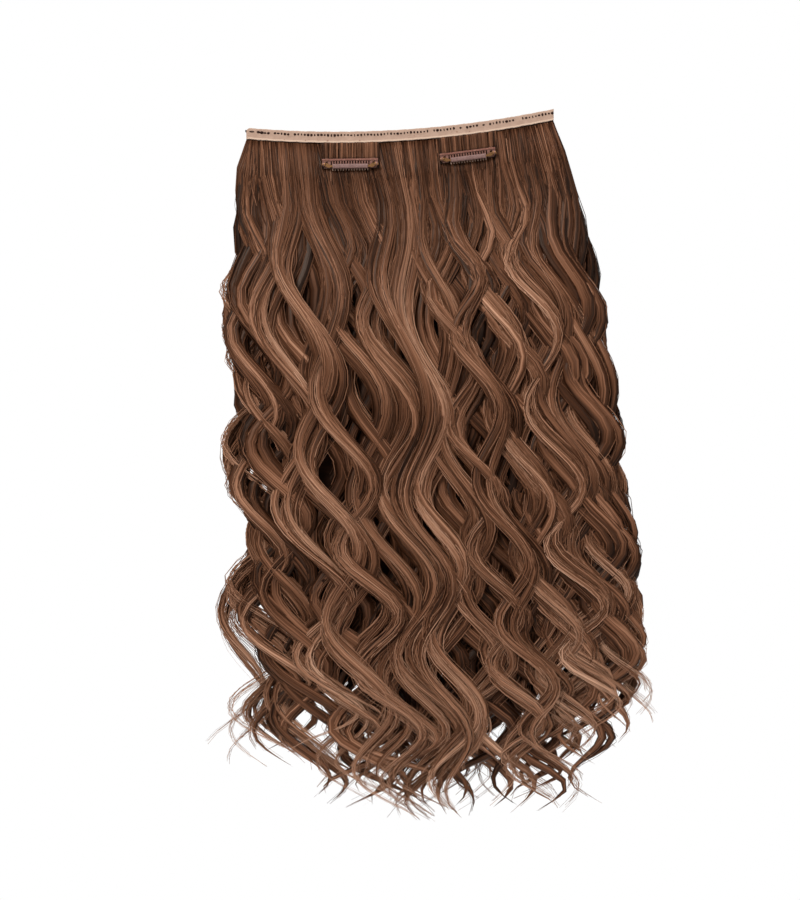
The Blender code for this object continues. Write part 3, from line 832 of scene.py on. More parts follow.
def loft_mesh(
    name: str, rings: np.ndarray, tones: np.ndarray, seeds: np.ndarray, material: bpy.types.Material
) -> bpy.types.Object:
    """Skins many stacks of rings as closed tubes in one mesh.

    Args:
        name: the piece's name.
        rings: points by tube, level and side, with the sides running so that they face outwards.
        tones: the attribute tone, by tube and level, or by tube, level and side.
        seeds: one number for each tube, the last part of the attribute flow.
        material: the piece's material.

    Returns:
        The object, in the scene. Its UV map gives each tube a column of its own.
    """
    count, levels, sides, _ = rings.shape
    index = np.arange(count * levels * sides).reshape(count, levels, sides)
    near, far = index[:, :-1], index[:, 1:]
    quads = np.stack((near, np.roll(near, -1, 2), np.roll(far, -1, 2), far), axis=-1).reshape(-1)
    loops = np.concatenate((quads, index[:, -1].reshape(-1), index[:, 0, ::-1].reshape(-1)))
    quad_count = count * (levels - 1) * sides
    totals = np.concatenate((np.full(quad_count, 4), np.full(2 * count, sides)))
    mesh = bpy.data.meshes.new(name)
    mesh.vertices.add(count * levels * sides)
    mesh.vertices.foreach_set("co", rings.reshape(-1).astype(np.float32))
    mesh.loops.add(len(loops))
    mesh.loops.foreach_set("vertex_index", loops.astype(np.int32))
    mesh.polygons.add(len(totals))
    mesh.polygons.foreach_set("loop_start", (np.cumsum(totals) - totals).astype(np.int32))
    mesh.polygons.foreach_set("use_smooth", np.ones(len(totals), dtype=bool))
    grid = np.ones((count, levels - 1, sides, 4))
    around = (np.arange(sides)[:, None] + np.array((0, 1, 1, 0))) / sides * grid
    along = (np.arange(levels - 1)[:, None, None] + np.array((0, 0, 1, 1))) / (levels - 1) * grid
    tube = np.arange(count)[:, None, None, None] * grid
    cap_around = np.tile(np.arange(sides) / sides, (count, 1))
    cap_tube = np.repeat(np.arange(count), sides)
    around = np.concatenate((around.reshape(-1), cap_around.reshape(-1), cap_around[:, ::-1].reshape(-1)))
    along = np.concatenate((along.reshape(-1), np.ones(count * sides), np.zeros(count * sides)))
    tube = np.concatenate((tube.reshape(-1), cap_tube, cap_tube)).astype(int)
    layout = mesh.uv_layers.new(name="OFBake")
    columns = np.stack(((tube + 0.05 + 0.9 * around) / count, 0.002 + 0.996 * along), axis=-1)
    layout.data.foreach_set("uv", columns.reshape(-1).astype(np.float32))
    flow = mesh.attributes.new("flow", "FLOAT_VECTOR", "CORNER")
    vectors = np.stack((around, along, seeds[tube]), axis=-1)
    flow.data.foreach_set("vector", vectors.reshape(-1).astype(np.float32))
    tone = mesh.attributes.new("tone", "FLOAT", "POINT")
    shades = tones if tones.ndim == 3 else np.repeat(tones[..., None], sides, axis=2)
    tone.data.foreach_set("value", shades.reshape(-1).astype(np.float32))
    mesh.update(calc_edges=True)
    mesh.materials.append(material)
    item = bpy.data.objects.new(name, mesh)
    bpy.context.scene.collection.objects.link(item)
    return item


def tube_rings(paths: np.ndarray, radii: np.ndarray, sides: int) -> np.ndarray:
    """Round sections along paths.

    Args:
        paths: points by tube and level.
        radii: radius by tube and level.
        sides: corners in a section.

    Returns:
        Points by tube, level and side.
    """
    sideways, front = path_frames(paths)
    angles = 2 * math.pi * (np.arange(sides) + 0.25) / sides
    rim = sideways[:, :, None] * np.cos(angles)[:, None] + front[:, :, None] * np.sin(angles)[:, None]
    return paths[:, :, None] + rim * radii[:, :, None, None]


def settle(piece: bpy.types.Object, slot: str, *nodes: str) -> None:
    """Puts a finished piece on the weft body.

    Args:
        piece: the piece.
        slot: the finish that it has in the record; not used.
        *nodes: the solids that it stands for, which are hidden.
    """
    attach(piece, WEFT_BODY)
    if nodes:
        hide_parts(*nodes)
    corners = len(piece.data.loops)
    LOG.info("%s: %d triangles", piece.name, corners - 2 * len(piece.data.polygons))


@dataclass
class HairFall:
    """All the hair below the tape: a near-black core of painted shade, locks of several tresses and the
    strands on them.
    """

    front_tresses: int = 6
    crossing_tresses: int = 4
    middle_tresses: int = 3
    back_tresses: int = 6
    side_wisps: int = 3
    body_levels: int = 48
    body_sides: int = 8
    strand_radius: float = 0.00027
    core_columns: int = 120
    seed: int = 11

    FRONT_STRANDS = StrandGroup(16, 45)
    MIDDLE_STRANDS = StrandGroup(7, 34)
    BACK_STRANDS = StrandGroup(9, 38)
    WISP_STRANDS = StrandGroup(20, 38, stray=1.6, width=0.8)
    FLYAWAY_STRANDS = StrandGroup(7, 38, stray=2.6, width=0.6)

    def add_front(self, layers: Layers, rng: np.random.Generator) -> None:
        """Adds the front locks, those that cross between them and the buried rows.

        Args:
            layers: the tresses of each layer.
            rng: source of the seeded variation.
        """
        for lock in FRONT_LOCKS:
            whole = replace(lock, girth=0.88 * lock.girth, tone=0.48, sway=rng.uniform(0.0, 2 * math.pi))
            layers[Layer.FRONT] += whole.tresses(self.front_tresses, rng)
        for i, (left, right) in enumerate(zip(FRONT_LOCKS, FRONT_LOCKS[1:])):
            beside = left.between(right, sway=rng.uniform(0.0, 2 * math.pi))
            crest = beside.crest + (0.42 if i % 2 else 0.30) * beside.pitch
            depth = beside.depth + (-0.12 if i % 2 else 0.14)
            # Tone 0.44, a little under the front locks': painted shade of the second layer.
            crossing = replace(beside, crest=crest, depth=depth, girth=0.95, tone=0.44)
            layers[Layer.FRONT] += crossing.tresses(self.crossing_tresses, rng)
            for row in BURIED_ROWS:
                buried = replace(
                    beside,
                    crest=beside.crest + row.shift * beside.pitch,
                    depth=row.depth,
                    girth=1.15,
                    reach=min(1.0, 1.03 * beside.reach),
                    tone=row.tone,
                    full_until=0.87,
                )
                layers[Layer.MIDDLE] += buried.tresses(row.tresses, rng)

    def add_sides(self, layers: Layers, rng: np.random.Generator) -> None:
        """Adds the fuller locks inside both edges and the loose wisps outside them.

        Args:
            layers: the tresses of each layer.
            rng: source of the seeded variation.
        """
        for lock in (FRONT_LOCKS[0], FRONT_LOCKS[-1]):
            for depth, shift in ((-0.45, 0.10), (0.40, -0.08)):
                crest = lock.crest + shift * lock.pitch
                # Tone 0.40, under the front locks': painted shade of the hair inside the edges.
                filling = replace(lock, crest=crest, depth=depth, girth=0.70, tone=0.40, full_until=0.86)
                layers[Layer.MIDDLE] += filling.tresses(self.middle_tresses, rng)
        for lock, outwards, widening in ((FRONT_LOCKS[0], -1, 1.50), (FRONT_LOCKS[-1], 1, 1.15)):
            for k in range(self.side_wisps):
                layers[Layer.WISP].append(replace(
                    lock,
                    tip=lock.tip + 0.02 * outwards * k,
                    crest=lock.crest + 0.035 * (k - 1),
                    swing=lock.swing * (widening - 0.12 * k),
                    depth=0.15 * (k - 1),
                    girth=0.20,
                    tone=0.56,
                    hook=0.005 * outwards,
                    sway=rng.uniform(0.0, 2 * math.pi),
                ))

    def add_back(self, layers: Layers, rng: np.random.Generator) -> None:
        """Adds the back locks and those that cross between them.

        Args:
            layers: the tresses of each layer.
            rng: source of the seeded variation.
        """
        for lock in BACK_LOCKS:
            tresses = self.back_tresses if lock.girth > 0.8 else self.middle_tresses
            whole = replace(lock, tone=0.48, sway=rng.uniform(0.0, 2 * math.pi))
            layers[Layer.BACK] += whole.tresses(tresses, rng)
        for left, right in zip(BACK_LOCKS[1:], BACK_LOCKS[2:]):
            beside = left.between(right, sway=rng.uniform(0.0, 2 * math.pi))
            crest = beside.crest + 0.35 * beside.pitch
            # Tone 0.42, a little under the back locks': painted shade of the locks crossing between them.
            crossing = replace(beside, crest=crest, depth=beside.depth - 0.20, girth=0.90, tone=0.42)
            layers[Layer.BACK] += crossing.tresses(self.crossing_tresses, rng)

    def make_layers(self) -> Layers:
        """The tresses of each layer, in a fixed order of random draws."""
        rng = np.random.default_rng(self.seed)
        layers: Layers = {layer: [] for layer in Layer}
        self.add_front(layers, rng)
        self.add_sides(layers, rng)
        self.add_back(layers, rng)
        return layers

    def make_core(self, material: bpy.types.Material) -> bpy.types.Object:
        """The near-black mass that fills the gaps between the locks: painted shade.

        Args:
            material: its material.

        Returns:
            The piece.
        """
        columns = self.core_columns
        across = np.linspace(-1.0, 1.0, columns)
        bulge = 0.25 + 0.75 * np.sqrt(np.clip(1 - across**2, 0.0, 1.0))
        ripple = 1 + 0.10 * np.cos(across * columns * math.pi / 2)
        notches = np.sin(37 * across) + np.sin(83 * across + 1)
        facing, behind = [], []
        for i, row in enumerate(CORE_ROWS):
            middle, half = (row.left + row.right) / 2 * HALF_SPAN, (row.right - row.left) / 2 * HALF_SPAN
            x = middle + half * across
            ragged = 0.022 * smooth_step(row.drop, 0.6, 0.75) * notches
            drop = row.drop + row.belly * (1 - across**2) + ragged
            z = tape_top(np.clip(x, -HALF_SPAN, HALF_SPAN)) - drop * FALL_LENGTH
            fullness = HALF_DEPTH * ripple * (bulge if i > 1 else 1.0)
            facing.append(np.stack((x, row.front * fullness, z), axis=-1))
            behind.append(np.stack((x, row.back * fullness, z), axis=-1))
        stack = np.array(behind[::-1] + facing).transpose(1, 0, 2)[None]
        # Tone 0.02 makes the core near-black: painted shade between the locks.
        return loft_mesh("hair_core_painted_shade", stack, np.full((1, columns), 0.02), np.array((3.0,)), material)

    def make_bodies(self, name: str, locks: list[Lock], material: bpy.types.Material) -> bpy.types.Object:
        """The skins of a layer's tresses, in one piece.

        Args:
            name: the piece's name.
            locks: the tresses.
            material: their material.

        Returns:
            The piece.
        """
        rings = np.array([lock.body_rings(self.body_levels, self.body_sides) for lock in locks])
        share = np.linspace(0.0, 1.0, self.body_levels) ** CROWDING
        angles = 2 * math.pi * np.arange(self.body_sides) / self.body_sides
        # Painted shade: each tress's skin is darker towards the edges of its width, where it turns away.
        edges = -0.17 * np.abs(np.cos(angles)) ** 2
        shades = np.array([lock.tone - 0.07 + self.shading(lock, share) for lock in locks])
        tones = shades[..., None] + edges
        seeds = np.array([float(lock.seed) for lock in locks])
        return loft_mesh(name, rings, tones, seeds, material)

    def shading(self, lock: Lock, share: np.ndarray) -> np.ndarray:
        """How much lighter a lock is along its length, a painted highlight included.

        Args:
            lock: the lock.
            share: places along it.

        Returns:
            What to add to its tone: less at the roots, a painted highlight where it runs in front, and more
                at its tip.
        """
        # facing: a painted highlight, lighter where the wave runs in front toward the lights.
        facing = -np.sin(2 * math.pi * lock.turns(share)) * lock.spread(share)
        roots = -0.15 * (1 - smooth_step(share, 0.03, 0.28))
        return roots + 0.13 * facing + 0.24 * smooth_step(share, 0.76, 1.0)

    def make_strands(
        self, name: str, locks: list[Lock], group: StrandGroup, rng: np.random.Generator,
        material: bpy.types.Material,
    ) -> bpy.types.Object:
        """Single strands on and round a list of locks, in one piece.

        Args:
            name: the piece's name.
            locks: the locks that they follow.
            group: how many, how fine and how loose they are.
            rng: source of the seeded variation.
            material: their material.

        Returns:
            The piece.
        """
        base = np.linspace(0.0, 1.0, group.levels) ** CROWDING
        contrast = 0.75 + 0.25 * smooth_step(base, 0.05, 0.35)
        paths, tones = [], []
        for lock in locks:
            paths.append(lock.strand_paths(group.per_lock, group.levels, rng, group.stray))
            own = np.clip(rng.normal(0.0, 0.13, group.per_lock), -0.26, 0.19)[:, None]
            tones.append(lock.tone + own * contrast + self.shading(lock, base))
        paths = np.concatenate(paths)
        tones = np.concatenate(tones)
        thick = rng.uniform(0.7, 1.25, len(paths))[:, None] * group.width * self.strand_radius
        radii = thick * (1 - 0.50 * smooth_step(base, 0.80, 1.0))[None]
        seeds = rng.uniform(0.0, 900.0, len(paths))
        return loft_mesh(name, tube_rings(paths, radii, 3), tones, seeds, material)

    def build(self) -> None:
        """Makes and settles every piece of hair."""
        rng = np.random.default_rng(self.seed + 1)
        body = HairFinish("hair_lock", 26.0, 4.0, 1.1).build()
        strand = HairFinish("hair_strand", 2.0, 6.0, 0.25).build()
        # The core's finish: near-black painted shade between the locks.
        dark = HairFinish("hair_core_painted_shade", 300.0, 4.0, 0.30, roughness=0.7, specular=0.05).build()
        layers = self.make_layers()
        settle(self.make_core(dark), "hair", "hair_fall")
        for layer in (Layer.FRONT, Layer.MIDDLE, Layer.BACK):
            settle(self.make_bodies(f"locks_{layer.value}", layers[layer], body), "hair")
        front, middle, back = layers[Layer.FRONT], layers[Layer.MIDDLE], layers[Layer.BACK]
        edges = [*front[:6:2], *front[-3:], *back[:3], *back[-2:], *front[6:-3:4], *middle[::9]]
        third = math.ceil(len(front) / 3)
        fronts = [front[i * third:(i + 1) * third] for i in range(3)]
        groups = [(f"strands_front_{i + 1}", locks, self.FRONT_STRANDS) for i, locks in enumerate(fronts)]
        groups += [
            ("strands_middle", middle, self.MIDDLE_STRANDS),
            ("strands_back", back, self.BACK_STRANDS),
            ("strands_wisps", layers[Layer.WISP], self.WISP_STRANDS),
            ("flyaways", edges, self.FLYAWAY_STRANDS),
        ]
        for name, locks, group in groups:
            settle(self.make_strands(name, locks, group, rng, strand), "hair")


@dataclass
class Tape:
    """The folded tape with its stitches and the knot at its end."""

    levels: int = 140
    corner: float = 0.0009
    hem_height: float = 0.0010
    hem_bulge: float = 0.00012
    stitch_drop: float = 0.0026
    stitch_pitch: float = 0.00225
    stitch_half_length: float = 0.00078
    stitch_half_height: float = 0.00092
    stitch_half_depth: float = 0.00028
    knot_radius: float = 0.0010

    def profile(self) -> np.ndarray:
        """The cross-section in y and drop, round the outside and back through the slot."""
        arc = [math.pi / 2 * i / 4 for i in range(5)]
        side = TAPE_HALF - self.corner
        corner = [(self.corner * math.cos(a), self.corner * math.sin(a)) for a in arc]
        back_top = [(side + out, self.corner - up) for out, up in corner]
        front_top = [(-y, drop) for y, drop in reversed(back_top)]
        edge = TAPE_HALF
        hem = TAPE_HEIGHT - self.hem_height
        swollen = edge + self.hem_bulge
        lower = [(SLOT_HALF + 0.0002, TAPE_HEIGHT), (edge - 0.0002, TAPE_HEIGHT)]
        lower += [(swollen, TAPE_HEIGHT - 0.0003), (swollen, hem + 0.0003)]
        lower += [(edge, hem), (edge, 0.6 * hem), (edge, 0.3 * hem)]
        inner = [(-SLOT_HALF, TAPE_HEIGHT - 0.0002), (-SLOT_HALF, TAPE_WALL), (SLOT_HALF, TAPE_WALL)]
        inner += [(SLOT_HALF, TAPE_HEIGHT - 0.0002)]
        mirrored = [(-y, drop) for y, drop in reversed(lower)]
        return np.array(lower + back_top + front_top + mirrored + inner)

    def make_band(self, material: bpy.types.Material) -> bpy.types.Object:
        """The cloth band, slightly uneven along its edges.

        Args:
            material: the cloth.

        Returns:
            The piece.
        """
        profile = self.profile()
        ends = np.linspace(0.0, 0.0018, 7)
        inner = np.linspace(-HALF_SPAN + 0.002, HALF_SPAN - 0.002, self.levels)
        x = np.concatenate((-HALF_SPAN + ends, inner, HALF_SPAN - ends[::-1]))
        uneven = 0.00008 * np.sin(x * 610 + 0.4) + 0.00006 * np.sin(x * 1730 + 2.0)
        waver = 0.00010 * np.sin(x * 260 + 1.0)
        rounding = 0.0017 * (1 - np.sqrt(1 - (1 - smooth_step(x, -HALF_SPAN, -HALF_SPAN + 0.0036)) ** 2))
        upper = 1 - smooth_step(profile[:, 1], 0.0, 0.8 * TAPE_HEIGHT)
        drop = profile[None, :, 1] + rounding[:, None] * upper
        y = profile[None, :, 0] + waver[:, None]
        z = tape_top(x)[:, None] - drop + uneven[:, None]
        rings = np.stack((x[:, None] + 0 * drop, y, z), axis=-1)[None]
        return loft_mesh("tape_band", rings, (drop * 1000)[None], np.array((1.0,)), material)

    def stitch_tree(self, material: bpy.types.Material) -> bpy.types.GeometryNodeTree:
        """Geometry Nodes that lay uneven stitches along a line, wider and sparser at its left end.

        Args:
            material: the thread.

        Returns:
            The node group, with inputs for the line, the pitch, the stitches' size and the seed.
        """
        tree = bpy.data.node_groups.new("tape_stitches", "GeometryNodeTree")
        face = tree.interface
        face.new_socket("Line", in_out="INPUT", socket_type="NodeSocketGeometry")
        measures = {
            "Pitch": self.stitch_pitch,
            "Half Length": self.stitch_half_length,
            "Half Height": self.stitch_half_height,
        }
        for name, value in measures.items():
            face.new_socket(name, in_out="INPUT", socket_type="NodeSocketFloat").default_value = value
        face.new_socket("Seed", in_out="INPUT", socket_type="NodeSocketInt").default_value = 5
        face.new_socket("Stitches", in_out="OUTPUT", socket_type="NodeSocketGeometry")
        nodes = NodeGraph(tree)
        given = nodes.add("NodeGroupInput").outputs
        curve = nodes.add("GeometryNodeMeshToCurve", Mesh=given["Line"]).outputs["Curve"]
        by_length = {"mode": "LENGTH"}
        spaced = nodes.add("GeometryNodeResampleCurve", by_length, Curve=curve, Length=given["Pitch"])
        bead = nodes.add("GeometryNodeMeshIcoSphere", Radius=1.0, Subdivisions=2).outputs["Mesh"]
        place = nodes.add("GeometryNodeInputPosition").outputs[0]
        across = nodes.add("ShaderNodeSeparateXYZ", Vector=place).outputs["X"]
        left_end = {"Value": across, "From_Min": -HALF_SPAN, "From_Max": -0.72 * HALF_SPAN}
        skipped = nodes.add("ShaderNodeMapRange", To_Min=0.72, To_Max=0.08, **left_end).outputs[0]
        widened = nodes.add("ShaderNodeMapRange", To_Min=1.9, To_Max=1.0, **left_end).outputs[0]
        chance = nodes.add("FunctionNodeRandomValue", Seed=given["Seed"]).outputs[1]
        size = nodes.add(
            "FunctionNodeRandomValue", {"data_type": "FLOAT_VECTOR"},
            in0=(0.45, 0.8, 0.60), in1=(1.35, 1.0, 1.10), Seed=given["Seed"],
        ).outputs[0]
        length = nodes.math("MULTIPLY", given["Half Length"], widened)
        shape = nodes.add(
            "ShaderNodeCombineXYZ", X=length, Y=self.stitch_half_depth, Z=given["Half Height"],
        ).outputs[0]
        scaled = nodes.add(
            "ShaderNodeVectorMath", {"operation": "MULTIPLY"}, in0=size, in1=shape,
        ).outputs[0]
        tangent = nodes.add("GeometryNodeInputTangent").outputs[0]
        aim = nodes.add("FunctionNodeAlignRotationToVector", {"axis": "X"}, Vector=tangent).outputs[0]
        copies = nodes.add(
            "GeometryNodeInstanceOnPoints", Points=spaced.outputs["Curve"], Instance=bead,
            Selection=nodes.math("GREATER_THAN", chance, skipped), Rotation=aim, Scale=scaled,
        ).outputs[0]
        smooth = nodes.add("GeometryNodeSetShadeSmooth", in0=copies).outputs[0]
        real = nodes.add("GeometryNodeRealizeInstances", in0=smooth).outputs[0]
        painted = nodes.add("GeometryNodeSetMaterial", Geometry=real, Material=material).outputs[0]
        nodes.add("NodeGroupOutput", Stitches=painted)
        return tree

    def make_stitches(
        self, name: str, y: float, seed: int, material: bpy.types.Material
    ) -> bpy.types.Object:
        """A row of stitches on one face of the tape.

        Args:
            name: the piece's name.
            y: the face's place.
            seed: for the stitches' sizes.
            material: the thread.

        Returns:
            The piece, as a plain mesh.
        """
        x = np.linspace(-HALF_SPAN + 0.0015, HALF_SPAN - 0.0010, 90)
        z = tape_top(x) - self.stitch_drop + 0.00018 * np.sin(x * 420 + seed)
        mesh = bpy.data.meshes.new(name + "_line")
        edges = [(i, i + 1) for i in range(len(x) - 1)]
        mesh.from_pydata([(a, y, b) for a, b in zip(x.tolist(), z.tolist())], edges, [])
        line = bpy.data.objects.new(name + "_line", mesh)
        bpy.context.scene.collection.objects.link(line)
        modifier = line.modifiers.new("stitches", "NODES")
        modifier.node_group = self.stitch_tree(material)
        sockets = {item.name: item.identifier for item in modifier.node_group.interface.items_tree}
        modifier[sockets["Seed"]] = seed
        modifier[sockets["Pitch"]] = self.stitch_pitch
        evaluated = line.evaluated_get(bpy.context.evaluated_depsgraph_get())
        done = bpy.data.meshes.new_from_object(evaluated)
        line.modifiers.remove(modifier)
        bpy.data.objects.remove(line)
        item = bpy.data.objects.new(name, done)
        bpy.context.scene.collection.objects.link(item)
        return item

    def make_knot(self, material: bpy.types.Material) -> bpy.types.Object:
        """The small dark knot at the top of the left end, a wound ring of thread.

        Args:
            material: the thread.

        Returns:
            The piece.
        """
        turns = np.linspace(0.0, 2 * math.pi * 3.5, 70)
        radius = self.knot_radius * (0.55 + 0.25 * np.sin(turns * 0.37))
        centre_z = tape_top(-HALF_SPAN) - 0.0024
        path = np.stack((
            -HALF_SPAN - 0.0002 + 0.0003 * np.sin(turns * 0.5),
            radius * np.cos(turns) * 2.2,
            centre_z + radius * np.sin(turns),
        ), axis=-1)[None]
        rings = tube_rings(path, np.full((1, len(turns)), 0.00028), 6)
        return loft_mesh("tape_knot", rings, np.full((1, len(turns)), 0.2), np.array((2.0,)), material)

    def build(self) -> None:
        """Makes and settles the tape's pieces."""
        cloth = TapeFinish().build()
        thread = ThreadFinish("dark_thread", (0.014, 0.005, 0.003)).build()
        settle(self.make_band(cloth), "tape", "weft_tape")
        settle(self.make_stitches("tape_stitches_front", -TAPE_HALF - 0.00004, 5, thread), "hair")
        settle(self.make_stitches("tape_stitches_back", TAPE_HALF + 0.00012, 9, thread), "hair")
        settle(self.make_knot(thread), "hair")


@dataclass
class ClipPanel:
    """The short straight panel behind a clip: flat strands side by side on a thin base."""

    side: str
    centre_x: float
    strands: int = 34
    levels: int = 10

    def build(self, strand: bpy.types.Material) -> None:
        """Makes and settles the panel's strands, which stand for the panel's solid.

        Args:
            strand: the strands' material.
        """
        rng = np.random.default_rng(31 if self.side == "left" else 47)
        half = CLIP_LENGTH / 2 + TAB_MARGIN - 0.0006
        slope = tape_slope(self.centre_x)
        x = self.centre_x + np.linspace(-half, half, self.strands) + rng.normal(0.0, 0.00025, self.strands)
        share = np.linspace(0.0, 1.0, self.levels)
        foot = CLIP_DROP + WING_HEIGHT + TAB_MARGIN - 0.0004
        top = TAPE_HEIGHT - 0.0008
        drop = top + (foot - top) * share
        lean = slope * (drop - top)[None] * 0.7 + rng.normal(0.0, 0.0004, self.strands)[:, None] * share
        path_x = np.clip(x[:, None] + lean, self.centre_x - half, self.centre_x + half)
        path_z = tape_top(self.centre_x) + slope * (x[:, None] - self.centre_x) - drop[None]
        middle = (TAB_FRONT - SLOT_HALF) / 2
        path_y = np.full_like(path_x, middle) + rng.uniform(-0.00012, 0.00012, self.strands)[:, None]
        wide = rng.uniform(0.00048, 0.00078, self.strands)
        deep = np.full(self.strands, TAB_THICKNESS / 2 - 0.00014)
        angles = 2 * math.pi * np.arange(8) / 8
        ring_x = path_x[:, :, None] + wide[:, None, None] * np.cos(angles)
        ring_y = path_y[:, :, None] - deep[:, None, None] * np.sin(angles)
        ring_z = path_z[:, :, None] + 0 * ring_x
        rings = np.stack((ring_x, ring_y, ring_z), axis=-1)
        shadow = 0.31 * smooth_step(drop, CLIP_DROP - 0.0008, CLIP_DROP + 0.0012)
        tones = (0.30 + rng.normal(0.0, 0.10, self.strands))[:, None] - shadow
        seeds = rng.uniform(0.0, 90.0, self.strands)
        panel = loft_mesh(f"panel_{self.side}", rings, tones, seeds, strand)
        settle(panel, "tab", f"clip_tab_{self.side}")


@dataclass
class SnapClip:
    """One snap clip: finishes for its solids and the threads that sew it to its panel."""

    side: str
    centre_x: float
    loops: int = 3
    thread_radius: float = 0.00016

    def dress(self, nodes: dict[str, bpy.types.Object], brass: bpy.types.Material) -> None:
        """Gives the clip's solids their finishes.

        Args:
            nodes: the frame's solids by name.
            brass: the material of the bar and the rivets.
        """
        tilt = math.atan(tape_slope(self.centre_x))
        centre = (self.centre_x, TAB_FRONT, tape_top(self.centre_x) - CLIP_DROP)
        enamel = EnamelFinish(f"brown_enamel_{self.side}", centre, tilt).build()
        rubber = SleeveFinish(f"ribbed_sleeve_{self.side}", centre, tilt).build()
        finishes = {
            f"comb_{self.side}": enamel,
            f"sleeve_{self.side}": rubber,
            f"snap_bar_{self.side}": brass,
            f"pivot_pin_{self.side}_left": brass,
            f"pivot_pin_{self.side}_right": brass,
        }
        for name, material in finishes.items():
            for slot in nodes[name].material_slots:
                slot.material = material
            LOG.info("%s: dressed", name)

    def make_threads(self, material: bpy.types.Material) -> bpy.types.Object:
        """The loops of thread through the holes in the clip's wings.

        Args:
            material: the thread.

        Returns:
            The piece.
        """
        tilt = math.atan(tape_slope(self.centre_x))
        along = np.array((math.cos(tilt), 0.0, math.sin(tilt)))
        down = np.array((math.sin(tilt), 0.0, -math.cos(tilt)))
        origin = np.array((self.centre_x, TAB_FRONT, tape_top(self.centre_x) - CLIP_DROP))
        face = SEAT_GAP + COMB_FACE
        paths = []
        share = np.linspace(0.0, 1.0, 17)
        arch = np.sin(math.pi * share)
        for sign in (-1, 1):
            hole = sign * (CLIP_LENGTH / 2 - WING_LENGTH / 2)
            for k in range(self.loops):
                reach = (k - (self.loops - 1) / 2) * 0.0009
                a = hole + reach * share
                d = SEWING_HOLE_DROP * (1 - share) - 0.0007 * share
                out = 0.0001 + (face + 0.0008) * arch**0.5 * (1 - 0.25 * share)
                paths.append(origin + along * a[:, None] + down * d[:, None] - FORWARD * out[:, None])
        paths = np.array(paths)
        rings = tube_rings(paths, np.full(paths.shape[:2], self.thread_radius), 6)
        tones = np.full(paths.shape[:2], 0.3)
        seeds = np.arange(len(paths), dtype=float)
        return loft_mesh(f"clip_threads_{self.side}", rings, tones, seeds, material)

    def build(
        self, nodes: dict[str, bpy.types.Object], brass: bpy.types.Material, thread: bpy.types.Material
    ) -> None:
        """Dresses the clip and settles its threads.

        Args:
            nodes: the frame's solids by name.
            brass: the material of the bar and the rivets.
            thread: the material of the threads.
        """
        self.dress(nodes, brass)
        settle(self.make_threads(thread), "tab")


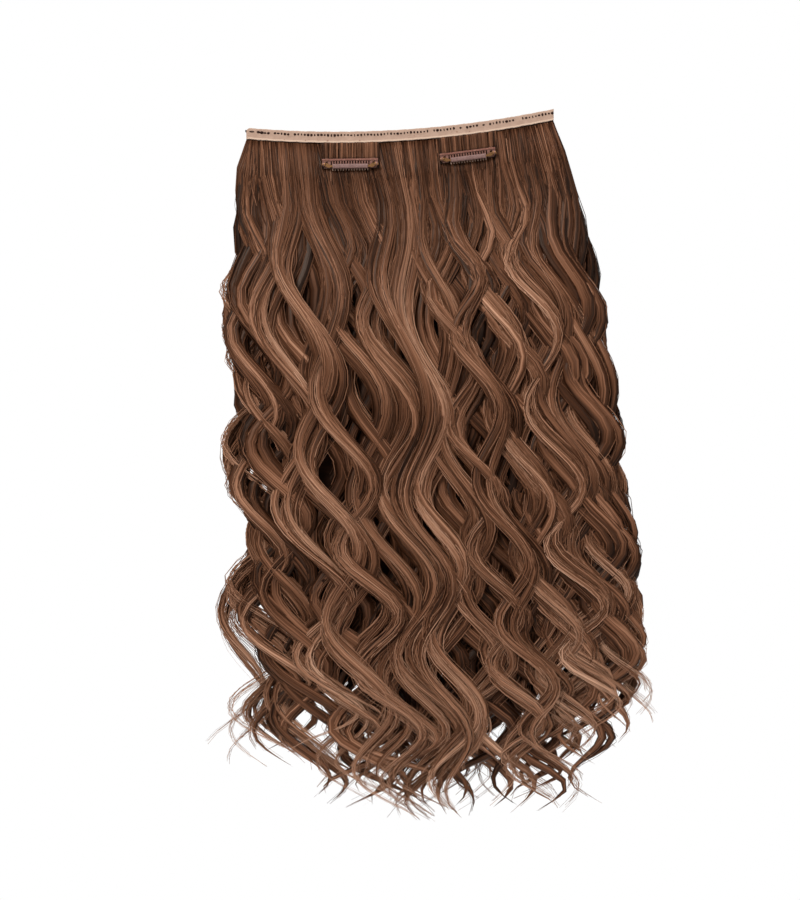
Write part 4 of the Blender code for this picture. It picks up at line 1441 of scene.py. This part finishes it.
@dataclass
class Studio:
    """Camera, lights, floor and the white surround."""

    focal_length: float = 85.0
    sensor: float = 36.0
    distance: float = 1.445
    eye_height: float = -0.2177
    floor_height: float = -0.95
    floor_radius: float = 1.9
    surround: float = 0.26

    def make_camera(self) -> None:
        """Puts the camera where the photograph was taken from."""
        lens = bpy.data.cameras.new("camera")
        lens.lens = self.focal_length
        lens.sensor_width = self.sensor
        lens.clip_end = 50.0
        camera = bpy.data.objects.new("camera", lens)
        camera.location = (0.0, -self.distance, self.eye_height)
        camera.rotation_euler = (math.radians(90), 0.0, 0.0)
        bpy.context.scene.collection.objects.link(camera)
        bpy.context.scene.camera = camera

    def make_light(self, name: str, place: tuple[float, float, float], size: float, power: float) -> None:
        """Puts up a soft square light that faces the middle of the hair.

        Args:
            name: the light's name.
            place: where it stands.
            size: the length of its sides.
            power: its power in watts.
        """
        data = bpy.data.lights.new(name, "AREA")
        data.size = size
        data.energy = power
        light = bpy.data.objects.new(name, data)
        light.location = place
        target = np.array((0.0, 0.0, self.eye_height))
        away = np.array(place) - target
        flat = math.hypot(away[0], away[1])
        light.rotation_euler = (math.atan2(flat, away[2]), 0.0, math.atan2(away[0], -away[1]))
        bpy.context.scene.collection.objects.link(light)

    def make_floor(self) -> None:
        """A wide pale floor well below the hair."""
        mesh = bpy.data.meshes.new("floor")
        radius, sides = self.floor_radius, 96
        turns = [2 * math.pi * i / sides for i in range(sides)]
        rim = [(radius * math.cos(a), radius * math.sin(a), self.floor_height) for a in turns]
        mesh.from_pydata(rim, [], [tuple(range(sides))])
        mesh.materials.append(FloorFinish().build())
        floor = bpy.data.objects.new("floor", mesh)
        bpy.context.scene.collection.objects.link(floor)

    def make_surround(self) -> None:
        """White light from all round."""
        world = bpy.data.worlds.new("white_surround")
        world.use_nodes = True
        tree = world.node_tree
        lit = tree.nodes["Background"]
        lit.inputs["Color"].default_value = (1.0, 1.0, 1.0, 1.0)
        lit.inputs["Strength"].default_value = self.surround
        seen = tree.nodes.new("ShaderNodeBackground")
        seen.inputs["Color"].default_value = (1.0, 1.0, 1.0, 1.0)
        seen.inputs["Strength"].default_value = 1.0
        rays = tree.nodes.new("ShaderNodeLightPath")
        either = tree.nodes.new("ShaderNodeMixShader")
        tree.links.new(rays.outputs["Is Camera Ray"], either.inputs["Fac"])
        tree.links.new(lit.outputs[0], either.inputs[1])
        tree.links.new(seen.outputs[0], either.inputs[2])
        tree.links.new(either.outputs[0], tree.nodes["World Output"].inputs["Surface"])
        bpy.context.scene.world = world

    def build(self) -> None:
        """Sets up the studio."""
        self.make_camera()
        self.make_surround()
        self.make_floor()
        self.make_light("key_light", (-0.75, -1.30, 0.75), 0.5, 42.0)
        self.make_light("fill_light", (1.10, -1.20, 0.10), 0.9, 8.0)
        self.make_light("top_light", (0.10, -0.35, 1.15), 0.7, 16.0)
        self.make_light("back_light", (0.65, 1.30, 0.55), 0.8, 30.0)
        settings = bpy.context.scene.view_settings
        settings.view_transform = "Standard"
        settings.look = "None"


def main() -> None:
    """Builds every sub-assembly in order."""
    logging.basicConfig(level=logging.INFO, format="%(message)s")
    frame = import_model()
    Studio().build()
    Tape().build()
    HairFall().build()
    panel = HairFinish("panel_strand", 4.0, 3.0, 0.20, roughness=0.5).build()
    thread = ThreadFinish("sewing_thread", (0.16, 0.075, 0.050)).build()
    brass = BrassFinish().build()
    for side, centre_x in (("left", CLIP_LEFT_X), ("right", CLIP_RIGHT_X)):
        ClipPanel(side, centre_x).build(panel)
        SnapClip(side, centre_x).build(frame["nodes"], brass, thread)


if __name__ == "__main__":
    main()
